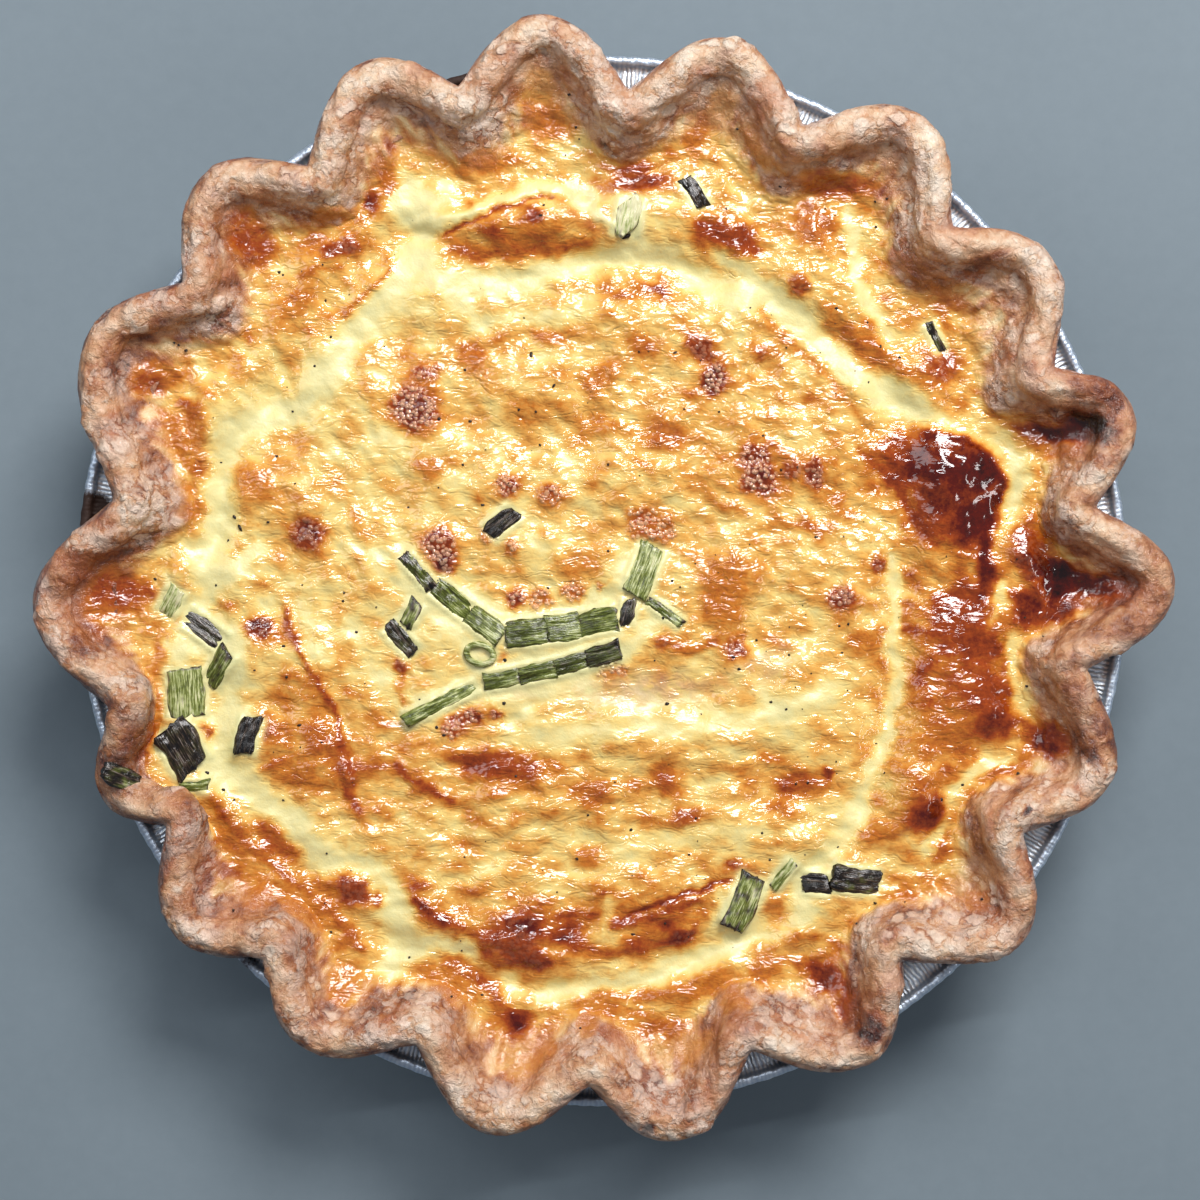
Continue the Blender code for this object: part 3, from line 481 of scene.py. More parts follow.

# Glaze, burns and some painted shade on the pastry, on the map: u, v, half length, half width, turn in
# degrees, browning, gloss
CRUST_SPOTS = (
    (151, 379, 24, 19, 20, 0.72, 1.0),
    (240, 229, 32, 22, -38, 0.70, 1.0),
    (255, 250, 24, 14, -10, 0.74, 0.8),
    (330, 215, 20, 10, 20, 0.62, 0.6),
    (392, 190, 40, 14, -60, 0.66, 0.5),
    (100, 596, 40, 30, 0, 0.66, 1.0),
    (120, 590, 26, 18, 0, 0.75, 0.9),
    (85, 640, 20, 14, 40, 0.74, 0.8),
    (190, 440, 22, 18, 0, 0.60, 0.4),
    (195, 510, 16, 10, 0, 0.62, 0.4),
    (540, 110, 18, 26, 60, 0.66, 0.9),
    (478, 165, 34, 12, 10, 0.64, 0.7),
    # The next two spots, in the pinches between the top flutes, are partly brown glaze and partly painted
    # shade.
    (640, 172, 40, 12, 4, 0.76, 0.6),
    (840, 183, 44, 12, -6, 0.72, 0.9),
    (765, 150, 14, 30, 40, 0.56, 0.5),
    # In the next seven rows, the darkest spots in the hollows of the right-hand flutes are partly burns and
    # partly painted shade under each flute's upper ridge.
    (1060, 434, 44, 13, -8, 0.92, 0.9),
    (1095, 424, 26, 13, -12, 0.98, 1.0),
    (1112, 400, 14, 20, 40, 0.88, 0.9),
    (1080, 455, 40, 10, -8, 0.66, 0.4),
    (1060, 572, 26, 10, -6, 1.00, 1.0),
    (1096, 586, 36, 14, -10, 0.93, 1.0),
    (1050, 592, 16, 13, 0, 0.97, 1.0),
    (1130, 596, 30, 16, -10, 0.80, 0.9),
    (1060, 612, 24, 12, 20, 0.84, 0.9),
    (1150, 600, 20, 30, 0, 0.66, 0.7),
    (1048, 740, 28, 16, -14, 0.84, 1.0),
    (1085, 745, 26, 12, -50, 0.78, 0.7),
    (1110, 700, 10, 40, 20, 0.70, 0.5),
    (1000, 770, 30, 8, 14, 0.66, 0.4),
    (519, 1017, 12, 26, 0, 0.92, 1.0),
    (525, 1000, 24, 14, 0, 0.76, 0.9),
    (664, 1026, 30, 15, -4, 0.68, 1.0),
    (640, 1004, 46, 9, 4, 0.66, 0.7),
    (826, 978, 24, 17, -30, 0.84, 1.0),
    (848, 1010, 14, 22, 20, 0.76, 0.9),
    (874, 1030, 13, 15, 0, 0.90, 0.9),
    (650, 1127, 7, 5, -20, 1.00, 0.2),
    (232, 840, 12, 34, 30, 0.66, 0.8),
    (300, 905, 46, 12, -38, 0.60, 0.7),
    (345, 985, 18, 22, 0, 0.60, 1.0),
    (440, 975, 30, 10, -30, 0.62, 0.6),
    (120, 770, 18, 24, 20, 0.80, 0.8),
    (145, 735, 26, 10, 30, 0.74, 0.7),
    (115, 705, 14, 12, 0, 0.70, 0.5),
    (1029, 810, 6, 4, 20, 0.95, 0.3),
    (985, 905, 30, 9, -30, 0.66, 0.6),
    (930, 880, 34, 9, -22, 0.58, 0.9),
    (940, 850, 16, 8, 60, 0.70, 0.8),
    (985, 262, 26, 8, 24, 0.80, 0.4),
    (950, 300, 26, 10, -30, 0.66, 0.6),
    (700, 130, 12, 30, -35, 0.66, 0.3),
    (985, 980, 20, 10, 0, 0.60, 0.3),
    (230, 870, 20, 8, -20, 0.72, 0.4),
    (180, 905, 16, 12, -20, 0.62, 0.5),
    (830, 800, 10, 6, 0, 0.60, 0.2),
    (1122, 628, 36, 12, 14, 0.66, 0.5),
    (1074, 690, 13, 44, 0, 0.66, 0.4),
    (1110, 738, 9, 26, 30, 0.74, 0.4),
    (1158, 545, 14, 34, 0, 0.60, 0.4),
    (1100, 505, 34, 10, -30, 0.62, 0.4),
    (1085, 386, 30, 10, -16, 0.64, 0.4),
    (455, 985, 16, 26, 20, 0.60, 0.6),
    (590, 1012, 12, 26, -10, 0.60, 0.5),
    (735, 1000, 14, 26, 10, 0.60, 0.5),
    (260, 890, 16, 20, -30, 0.60, 0.5),
    (540, 84, 15, 20, 0, 0.50, 0.5),
    (722, 104, 13, 26, -20, 0.50, 0.4),
    (520, 1062, 26, 20, 0, 0.50, 0.7),
    (545, 1040, 12, 26, -20, 0.62, 0.6),
    (690, 1050, 30, 16, 10, 0.54, 0.6),
    (60, 575, 16, 30, 0, 0.62, 0.5),
    (135, 745, 12, 22, 20, 0.78, 0.6),
)

# Thin whitish blisters of the pastry, on the map: u, v, half length, half width, turn in degrees, strength
FLAKY_PATCHES = (
    (480, 120, 55, 28, -30, 1.0),
    (560, 40, 45, 18, 10, 0.7),
    (455, 75, 40, 22, -40, 0.5),
    (610, 110, 22, 34, 25, 0.9),
    (665, 100, 14, 36, -35, 0.8),
    (740, 75, 34, 26, 0, 0.6),
    (800, 130, 16, 26, 20, 0.4),
    (925, 160, 16, 40, 10, 0.9),
    (905, 215, 22, 30, 0, 0.9),
    (1040, 260, 26, 22, -30, 0.8),
    (1060, 300, 14, 30, 0, 0.8),
    (995, 390, 16, 24, 0, 0.7),
    (1020, 340, 22, 40, 0, 0.4),
    (1090, 470, 30, 20, 0, 0.9),
    (1065, 520, 18, 22, 0, 0.9),
    (1085, 690, 22, 30, 0, 0.4),
    (1060, 830, 50, 16, 30, 0.5),
    (930, 950, 60, 14, 5, 0.7),
    (985, 960, 40, 14, 20, 0.6),
    (790, 1020, 50, 26, -15, 0.7),
    (830, 1070, 34, 16, 10, 0.6),
    (660, 1080, 40, 40, 0, 0.8),
    (590, 1050, 34, 24, 0, 0.7),
    (480, 1100, 50, 22, -10, 0.9),
    (430, 1010, 40, 26, -40, 0.6),
    (300, 960, 16, 40, -20, 0.6),
    (290, 1030, 22, 30, -30, 0.7),
    (190, 930, 30, 16, -30, 0.9),
    (220, 830, 22, 26, 0, 0.7),
    (170, 850, 24, 16, 20, 0.5),
    (60, 640, 14, 34, 10, 0.8),
    (95, 660, 16, 16, 0, 0.6),
    (150, 505, 30, 34, 0, 1.0),
    (120, 440, 30, 24, 0, 0.6),
    (190, 470, 24, 20, 0, 0.7),
    (215, 320, 40, 24, 20, 0.7),
    (150, 300, 30, 20, 0, 0.5),
    (230, 190, 30, 26, -40, 0.5),
    (300, 190, 40, 14, -10, 0.6),
    (370, 110, 26, 40, -20, 0.4),
    (330, 160, 16, 30, 0, 0.5),
    (1130, 620, 22, 22, 0, 0.4),
    (1140, 470, 18, 26, 0, 0.5),
)

# Seeds, pepper and char flecks that stand out, on the map: u, v, length, width, turn in degrees
LARGE_SPECKS = (
    (626, 237, 13, 6, 30), (622, 228, 6, 4, 60), (632, 205, 4, 3, 0),
    (234, 517, 7, 4, -50), (240, 528, 8, 5, -60), (268, 522, 4, 3, 20), (531, 356, 9, 4, 80),
    (554, 386, 6, 3, 50), (439, 419, 5, 4, 40), (470, 421, 4, 3, 0), (483, 505, 4, 3, 0), (608, 465, 3, 3, 0),
    (639, 352, 3, 3, 0), (675, 353, 5, 3, 30), (719, 412, 3, 3, 0), (763, 436, 4, 3, 0), (463, 465, 3, 3, 0),
    (519, 410, 3, 3, 0), (536, 412, 3, 3, 0), (540, 445, 3, 3, 0), (548, 588, 3, 3, 0), (608, 551, 3, 3, 0),
    (672, 581, 3, 3, 0), (771, 702, 4, 3, 0), (667, 704, 5, 4, 0), (739, 669, 4, 3, 0), (733, 657, 5, 3, 0),
    (680, 587, 3, 2, 0), (437, 727, 4, 4, 0), (444, 735, 4, 3, 0), (343, 601, 3, 3, 0), (344, 593, 3, 3, 0),
    (356, 632, 4, 3, 0), (284, 646, 4, 3, 0), (300, 725, 5, 3, 20), (287, 677, 3, 3, 0), (255, 670, 3, 2, 0),
    (276, 456, 4, 3, 0), (220, 462, 3, 2, 0), (155, 579, 4, 3, 0), (207, 773, 5, 4, 0), (223, 790, 4, 4, 0),
    (234, 800, 3, 3, 0), (631, 830, 4, 4, 0), (577, 859, 4, 3, 0), (689, 855, 3, 3, 0), (633, 934, 5, 3, 0),
    (665, 923, 3, 3, 0), (796, 784, 3, 3, 0), (816, 537, 4, 3, 0), (839, 626, 3, 3, 0), (848, 624, 3, 3, 0),
    (789, 655, 3, 3, 0), (786, 709, 3, 3, 0), (877, 744, 3, 2, 0), (1026, 686, 4, 3, 0), (1017, 773, 4, 3, 0),
    (808, 783, 3, 3, 0), (569, 98, 4, 3, 0), (576, 128, 3, 3, 0), (737, 131, 4, 3, 0), (780, 188, 5, 4, 0),
    (875, 202, 3, 3, 0), (886, 200, 3, 3, 0), (876, 227, 3, 3, 0), (836, 309, 4, 3, 0), (880, 347, 3, 4, 0),
    (899, 358, 3, 3, 0), (867, 323, 2, 3, 0), (541, 218, 4, 3, 0), (544, 207, 3, 3, 0), (726, 209, 3, 3, 0),
    (279, 272, 4, 3, 0), (283, 275, 3, 3, 0), (325, 300, 3, 3, 0), (331, 337, 3, 3, 0), (315, 366, 3, 3, 0),
    (292, 411, 3, 3, 0), (180, 346, 3, 3, 0), (187, 351, 4, 3, 0), (176, 344, 3, 3, 0), (465, 370, 3, 3, 0),
    (875, 903, 4, 3, 0), (856, 923, 3, 3, 0), (979, 897, 3, 3, 0), (963, 785, 4, 3, 0), (941, 799, 3, 4, 0),
    (409, 958, 3, 3, 0), (452, 995, 3, 3, 0), (482, 995, 4, 3, 0), (236, 908, 3, 3, 0), (331, 932, 3, 3, 0),
    (770, 860, 3, 3, 0), (762, 833, 3, 3, 0), (696, 818, 3, 3, 0), (588, 815, 3, 3, 0), (516, 776, 3, 3, 0),
    (504, 703, 4, 4, 0), (505, 660, 4, 5, 0), (663, 618, 3, 3, 0), (757, 640, 3, 3, 0), (781, 470, 3, 3, 0),
)
RANDOM_SPECKS = 150
SPECK_SEED = 11
SPECK_REACH = 104 * MM
SPECK_SIZES = (0.18 * MM, 0.5 * MM)
SPECK_THICKNESS = 0.5 * MM
SPECK_LIFT = 0.05 * MM

# Spring onion, as in the solids: x, y, turn in degrees, length, width, thickness in millimetres; then
# greenness and char, each from 0 to about 1
ONION_PIECES = {
    "onion_long_a1": (-42.8, 2.2, -49, 9.0, 3.4, 2.4, 0.55, 0.45),
    "onion_long_a2": (-34.9, -4.2, -38, 9.2, 5.4, 2.8, 0.60, 0.15),
    "onion_long_a3": (-27.0, -10.2, -37, 8.4, 5.6, 2.8, 0.70, 0.08),
    "onion_long_b1": (-17.4, -11.9, 6, 8.8, 6.8, 3.0, 0.56, 0.12),
    "onion_long_b2": (-9.0, -10.8, 8, 6.8, 6.8, 3.0, 0.66, 0.06),
    "onion_long_b3": (-0.9, -9.4, 10, 8.2, 6.2, 3.0, 0.62, 0.12),
    "onion_fork_c": (9.8, 2.4, 68, 11.2, 6.4, 2.8, 0.80, 0.03),
    "onion_fork_knot": (6.0, -7.2, 78, 5.0, 3.8, 2.8, 0.35, 0.55),
    "onion_fork_tip": (14.6, -7.2, -36, 8.4, 2.5, 2.2, 0.70, 0.25),
    "onion_row_f1": (-23.3, -22.8, 12, 7.4, 4.4, 2.4, 0.65, 0.08),
    "onion_row_f2": (-15.1, -21.2, 12, 7.6, 4.6, 2.6, 0.60, 0.10),
    "onion_row_f3": (-7.2, -19.2, 15, 7.0, 4.6, 2.6, 0.50, 0.25),
    "onion_row_f4": (0.3, -17.0, 17, 7.0, 5.0, 2.6, 0.45, 0.35),
    "onion_strip_g": (-37.3, -28.3, 26, 18.0, 3.4, 2.2, 0.72, 0.05),
    "onion_green_m1": (-44.2, -7.6, 62, 5.2, 3.8, 2.4, 0.85, 0.45),
    "onion_charred_m2": (-46.8, -13.4, -47, 7.8, 4.4, 2.4, 0.35, 0.52),
    "onion_sunk_n": (-23.2, 13.6, 40, 7.0, 5.0, 2.4, 0.40, 0.70),
    "onion_edge_h1": (-100.0, -4.6, 62, 5.8, 4.6, 2.6, 0.95, 0.00),
    "onion_edge_h2": (-92.4, -11.4, -36, 10.4, 5.4, 2.6, 0.20, 0.46),
    "onion_edge_h3": (-96.6, -26.0, -88, 10.2, 8.6, 3.0, 0.82, 0.18),
    "onion_edge_h4": (-89.2, -20.0, 56, 8.0, 4.6, 2.8, 0.65, 0.35),
    "onion_edge_h5": (-97.4, -38.8, -60, 10.2, 9.0, 3.2, 0.25, 0.62),
    "onion_edge_h6": (-110.6, -45.2, -20, 7.6, 5.4, 2.4, 0.60, 0.60),
    "onion_edge_h7": (-94.6, -47.5, 4, 5.6, 2.8, 2.2, 0.70, 0.10),
    "onion_charred_i": (-82.4, -35.8, 76, 7.6, 5.2, 2.8, 0.20, 0.98),
    "onion_low_j1": (33.0, -74.8, 66, 12.0, 6.6, 3.0, 0.78, 0.40),
    "onion_low_j2": (42.2, -68.2, 52, 7.0, 2.8, 2.2, 0.85, 0.10),
    "onion_low_j3": (49.8, -70.4, -4, 5.2, 5.0, 2.8, 0.30, 0.85),
    "onion_low_j4": (58.9, -69.6, -8, 10.0, 6.2, 2.8, 0.60, 0.72),
    "onion_charred_k1": (21.4, 90.2, -58, 6.6, 3.8, 2.4, 0.10, 1.00),
    "onion_clear_k2": (6.2, 84.6, 80, 8.0, 6.0, 2.2, 1.05, 0.12),
    "onion_sliver_l": (77.4, 56.8, -64, 6.2, 2.4, 2.2, 0.50, 0.60),
}

# How much of a piece's thickness lies in the custard
SUNK_SHARE = 0.62

# The piece cut across: x, y, turn in degrees, length, width and wall in millimetres
ONION_RING = (-28.3, -17.0, -12, 8.0, 6.0, 1.5)
RING_STEPS = 64
RING_SIDES = 14
RING_LIFT = 0.15 * MM

# Surface of the leaves; the named pieces have rounder ends than the rest
ROUND_PIECES = {"onion_clear_k2": 0.97, "onion_fork_knot": 0.7, "onion_sunk_n": 0.6, "onion_edge_h6": 0.5}
LEAF_ROUNDNESS = 0.06
LEAF_SQUARENESS = 0.72
LEAF_STEPS = 44
LEAF_SIDES = 44
LEAF_OVERLAP = 1.1 * MM
LEAF_NOTCH = 0.55 * MM
LEAF_BUMPS = 0.22 * MM
RIB_SPACING = 0.55 * MM
RIB_HEIGHT = 0.055 * MM


# Numbers


def hashed(a, b, seed):
    """A repeatable random number from 0 to 1 for each pair of whole numbers."""
    mixed = (a * 374761393 + b * 668265263 + seed * 1442695041) & 0xFFFFFFFF
    mixed = ((mixed ^ (mixed >> 13)) * 1274126177) & 0xFFFFFFFF
    return (mixed ^ (mixed >> 16)) / 0xFFFFFFFF


def noise(x, y, seed):
    """Smooth noise from about -1 to 1 with features about one unit wide."""
    cell_x, cell_y = np.floor(x).astype(np.int64), np.floor(y).astype(np.int64)
    off_x, off_y = x - cell_x, y - cell_y
    ease_x = off_x**3 * (off_x * (off_x * 6 - 15) + 10)
    ease_y = off_y**3 * (off_y * (off_y * 6 - 15) + 10)
    corner = {}
    for i in (0, 1):
        for j in (0, 1):
            turn = hashed(cell_x + i, cell_y + j, seed) * 2 * np.pi
            corner[i, j] = np.cos(turn) * (off_x - i) + np.sin(turn) * (off_y - j)
    near = corner[0, 0] + (corner[1, 0] - corner[0, 0]) * ease_x
    far = corner[0, 1] + (corner[1, 1] - corner[0, 1]) * ease_x
    return 1.5 * (near + (far - near) * ease_y)


def layered_noise(x, y, seed, layers=3):
    """Noise with finer and weaker layers added to it."""
    total, weight = 0.0, 1.0
    for layer in range(layers):
        total = total + weight * noise(x * 2**layer, y * 2**layer, seed + 31 * layer)
        weight *= 0.5
    return total


def cells(x, y, seed):
    """For one random point in each unit square: distances to the nearest and the second, and its number."""
    cell_x, cell_y = np.floor(x).astype(np.int64), np.floor(y).astype(np.int64)
    first, second, tone = np.full(x.shape, 9.0), np.full(x.shape, 9.0), np.zeros(x.shape)
    for i in (-1, 0, 1):
        for j in (-1, 0, 1):
            at_x, at_y = cell_x + i, cell_y + j
            point_x, point_y = at_x + hashed(at_x, at_y, seed), at_y + hashed(at_x, at_y, seed + 1)
            away = np.hypot(x - point_x, y - point_y)
            closer = away < first
            second = np.where(closer, first, np.minimum(second, away))
            tone = np.where(closer, hashed(at_x, at_y, seed + 2), tone)
            first = np.minimum(first, away)
    return first, second, tone


def smooth(low, high, value):
    """0 below low, 1 above high and an eased step between."""
    share = np.clip((value - low) / (high - low), 0, 1)
    return share * share * (3 - 2 * share)


def bell(value):
    """1 at 0, falling to 0 on both sides."""
    return np.exp(-(value**2))


def toward(value, target, share):
    """A value moved a share of the way to a target."""
    return value + (target - value) * share


def turned(x, y, degrees):
    """The parts of an offset along a direction and across it."""
    cosine, sine = math.cos(math.radians(degrees)), math.sin(math.radians(degrees))
    return x * cosine + y * sine, y * cosine - x * sine


# Places on the map


def map_place(x, y, z):
    """Where a point falls on the map."""
    nearer = EYE_DISTANCE / (EYE_DISTANCE + RIM_LEVEL - z)
    return MAP_MIDDLE + (x - EYE_X) * nearer / MAP_UNIT, MAP_MIDDLE - (y - EYE_Y) * nearer / MAP_UNIT


def from_map(u, v):
    """The x and y of a place on the map, at rim level."""
    return EYE_X + (u - MAP_MIDDLE) * MAP_UNIT, EYE_Y - (v - MAP_MIDDLE) * MAP_UNIT


def wandering(u, v, size, seeds):
    """Places on the map moved about a little, so that the edges of marks wander."""
    seed_u, seed_v = seeds
    bent_u = u + WANDER * layered_noise(u / size, v / size, seed_u)
    bent_v = v + WANDER * layered_noise(u / size, v / size, seed_v)
    return bent_u, bent_v


def patch(u, v, oval):
    """1 at the middle of an oval on the map, fading over its edge. The oval has place, sizes and turn."""
    middle_u, middle_v, length, width, turn = oval
    along, across = turned(u - middle_u, middle_v - v, turn)
    away = (along / length) ** 2 + (across / width) ** 2
    return np.exp(-np.minimum(away, PATCH_LIMIT) ** PATCH_POWER * PATCH_FALL)


def line_distance(u, v, points):
    """Distance on the map to a line through the points."""
    nearest = np.full(u.shape, 1e9)
    for (u0, v0), (u1, v1) in zip(points, points[1:]):
        span_u, span_v = u1 - u0, v1 - v0
        share = ((u - u0) * span_u + (v - v0) * span_v) / (span_u**2 + span_v**2)
        share = np.clip(share, 0, 1)
        nearest = np.minimum(nearest, np.hypot(u - u0 - share * span_u, v - v0 - share * span_v))
    return nearest


# Shapes shared with the solids


def eased_around(angles, key_degrees, key_values, breadth=1.0):
    """A periodic curve through the key values, level at each. A breadth under 1 widens its high parts."""
    order = np.argsort(key_degrees)
    degrees = np.asarray(key_degrees, float)[order]
    values = np.asarray(key_values, float)[order]
    degrees = np.concatenate([[degrees[-1] - 360], degrees, [degrees[0] + 360]])
    values = np.concatenate([[values[-1]], values, [values[0]]])
    wanted = np.degrees(angles) % 360
    left = np.clip(np.searchsorted(degrees, wanted, side="right") - 1, 0, len(degrees) - 2)
    share = (wanted - degrees[left]) / (degrees[left + 1] - degrees[left])
    low = np.minimum(values[left], values[left + 1])
    high = np.maximum(values[left], values[left + 1])
    share = np.where(values[left + 1] >= values[left], share, 1 - share)
    eased = (1 - np.cos(np.pi * np.clip(share, 0, 1))) / 2
    return low + (high - low) * eased**breadth


def flute_keys(column):
    """Key angles and the values of peaks and pinches. Column 0 is reach, 1 crest height, 2 custard edge."""
    degrees = [flute[0] for flute in FLUTES] + [flute[4] for flute in FLUTES]
    values = [flute[1 + column] for flute in FLUTES] + [flute[5 + column] for flute in FLUTES]
    return degrees, np.array(values) * MM


def crest_radius(angles):
    """Radius of the crest's centre line."""
    degrees, reach = flute_keys(0)
    reach[: len(FLUTES)] -= ROLL_HALF_WIDTH + FOOT_SPREAD
    return eased_around(angles, degrees, reach, LOBE_BREADTH)


def crest_height(angles):
    """Height of the crest."""
    return eased_around(angles, *flute_keys(1))


def custard_edge(angles):
    """Radius at which the custard meets the pastry."""
    return eased_around(angles, *flute_keys(2))


def crest_offset(angles, half_width, side):
    """Radius of the crest's outer (side 1) or inner (side -1) edge at a half width, measured across it."""
    around = np.linspace(0, 2 * math.pi, 2160, endpoint=False)
    line = crest_radius(around)
    turn = around[None, :] - angles[:, None]
    along = line * np.cos(turn)
    across = line * np.sin(turn)
    near = (np.abs(across) < half_width) & (along > 0)
    reach = along + side * np.sqrt(np.clip(half_width**2 - across**2, 0, None))
    reach = np.where(near, reach, -side * np.inf)
    return reach.max(axis=1) if side > 0 else reach.min(axis=1)


def edge_lift(angles):
    """How far the custard's edge runs up the pastry, in the one flute where it does."""
    off = (np.degrees(angles) - LIFTED_EDGE_DEGREES + 180) % 360 - 180
    return LIFTED_EDGE_HEIGHT * np.exp(-((off / LIFTED_EDGE_HALF_WIDTH) ** 2))


def inside_edge(x, y):
    """How far inside the custard's edge each point lies."""
    return custard_edge(np.arctan2(y, x)) - np.hypot(x, y)


def ripples():
    """Wave vectors and phases of the custard's shallow ripples."""
    draw = np.random.default_rng(RIPPLE_SEED)
    lengths = draw.uniform(*RIPPLE_LENGTHS, RIPPLES)
    directions = draw.uniform(0, math.pi, RIPPLES)
    phases = draw.uniform(0, 2 * math.pi, RIPPLES)
    waves = 2 * math.pi / lengths
    return waves * np.cos(directions), waves * np.sin(directions), phases


def custard_height(x, y):
    """Height of the custard's top without its wrinkles."""
    radius = np.hypot(x, y)
    angles = np.arctan2(y, x)
    crack_degrees, crack_radii = zip(*CRACK_RING)
    crack = eased_around(angles, crack_degrees, np.array(crack_radii) * MM)
    edge = custard_edge(angles)
    relief = CUSTARD_DOME * (1 - (radius / edge) ** 2)
    relief = relief - CRACK_DEPTH * bell((radius - crack) / CRACK_HALF_WIDTH)
    relief = relief + PUFF_HEIGHT * bell((radius - crack - PUFF_OFFSET) / PUFF_HALF_WIDTH)
    for along_x, along_y, phase in zip(*ripples()):
        relief = relief + RIPPLE_HEIGHT * np.sin(along_x * x + along_y * y + phase)
    for centre_x, centre_y, length, width, turn, height in BLISTERS:
        along, across = turned(x - centre_x * MM, y - centre_y * MM, turn)
        relief = relief + height * MM * bell(along / (length * MM)) * bell(across / (width * MM))
    lift = edge_lift(angles) * bell((edge - radius) / LIFTED_EDGE_REACH)
    return CUSTARD_LEVEL + lift + relief * smooth(0.0, EDGE_BLEND, edge - radius)


def tin_wall_radius(height):
    """Radius of the tin's side at a height."""
    return TIN_BASE_RADIUS + (TIN_SHOULDER_RADIUS - TIN_BASE_RADIUS) * height / TIN_SHOULDER_HEIGHT


# Meshes


def mesh_object(name, points, faces, material=None, attributes=None):
    """An object from points and faces, smooth, with a float attribute for each named mask."""
    mesh = bpy.data.meshes.new(name)
    mesh.from_pydata(np.asarray(points).tolist(), [], faces)
    mesh.shade_smooth()
    for key, values in (attributes or {}).items():
        layer = mesh.attributes.new(key, "FLOAT", "POINT")
        layer.data.foreach_set("value", np.ascontiguousarray(values, dtype=np.float32).ravel())
    if material:
        mesh.materials.append(material)
    obj = bpy.data.objects.new(name, mesh)
    bpy.context.scene.collection.objects.link(obj)
    return obj


def grid_faces(rows, columns):
    """Quads of a grid of points in row order, whose last column joins its first."""
    row, column = np.meshgrid(np.arange(rows - 1), np.arange(columns), indexing="ij")
    start, following = row * columns, (column + 1) % columns
    quads = (start + column, start + following, start + columns + following, start + columns + column)
    return np.stack([quad.ravel() for quad in quads], axis=1).tolist()


def grid_normals(grid):
    """Unit normals of a grid of points with shape rows, columns, 3, whose last column joins its first."""
    down = np.gradient(grid, axis=0)
    along = (np.roll(grid, -1, axis=1) - np.roll(grid, 1, axis=1)) / 2
    normal = np.cross(along, down)
    return normal / np.maximum(np.linalg.norm(normal, axis=2, keepdims=True), 1e-12)


# Custard


def folds(x, y, turn, across, along, seed):
    """Crumpled folds that run in one direction: rounded swells with sharper creases between them."""
    run, side = turned(x, y, turn)
    bend = FOLD_BEND * across * noise(x / (2.2 * across), y / (2.2 * across), seed + 5)
    swell = noise(run / along, (side + bend) / across, seed)
    crease = 0.5 - np.abs(noise(run / along + 7.3, (side + bend) / across, seed + 9))
    return SWELL_SHARE * swell + CREASE_SHARE * crease


def wrinkle_field(x, y):
    """Height of the skin's wrinkles, in metres: coarser and finer folds that follow the pull of the skin."""
    low_side = smooth(-5 * MM, -45 * MM, y)
    left_side = smooth(-25 * MM, -60 * MM, x) * (1 - 0.6 * low_side)
    main_part = (1 - low_side) * (1 - left_side)
    total = 0.0
    for share, rows in ((main_part, MAIN_FOLDS), (low_side, LOW_FOLDS), (left_side, LEFT_FOLDS)):
        for height, turn, across, along, seed in rows:
            total = total + share * height * folds(x, y, turn, across * MM, along * MM, seed)
    return total * MM


def onion_nearness(x, y):
    """1 on the onion pieces, fading to 0 a few millimetres off them; and 1 along their rims."""
    near, rim = np.zeros(x.shape), np.zeros(x.shape)
    for middle_x, middle_y, turn, length, width, *_ in ONION_PIECES.values():
        along, across = turned(x - middle_x * MM, y - middle_y * MM, turn)
        past_end = np.abs(along) - length * MM / 2
        past_side = np.abs(across) - width * MM / 2
        away = np.hypot(np.maximum(past_end, 0), np.maximum(past_side, 0))
        near = np.maximum(near, bell(away / HALO_WIDTH))
        beside = bell((past_side + RIM_INSET) / RIM_HALF_WIDTH)
        rim = np.maximum(rim, beside * smooth(1.2 * MM, -0.4 * MM, past_end))
    ring_x, ring_y = ONION_RING[:2]
    away = np.abs(np.hypot(x - ring_x * MM, (y - ring_y * MM) * RING_STRETCH) - RING_REACH)
    return np.maximum(near, 0.8 * bell(away / RING_HALO_WIDTH)), rim


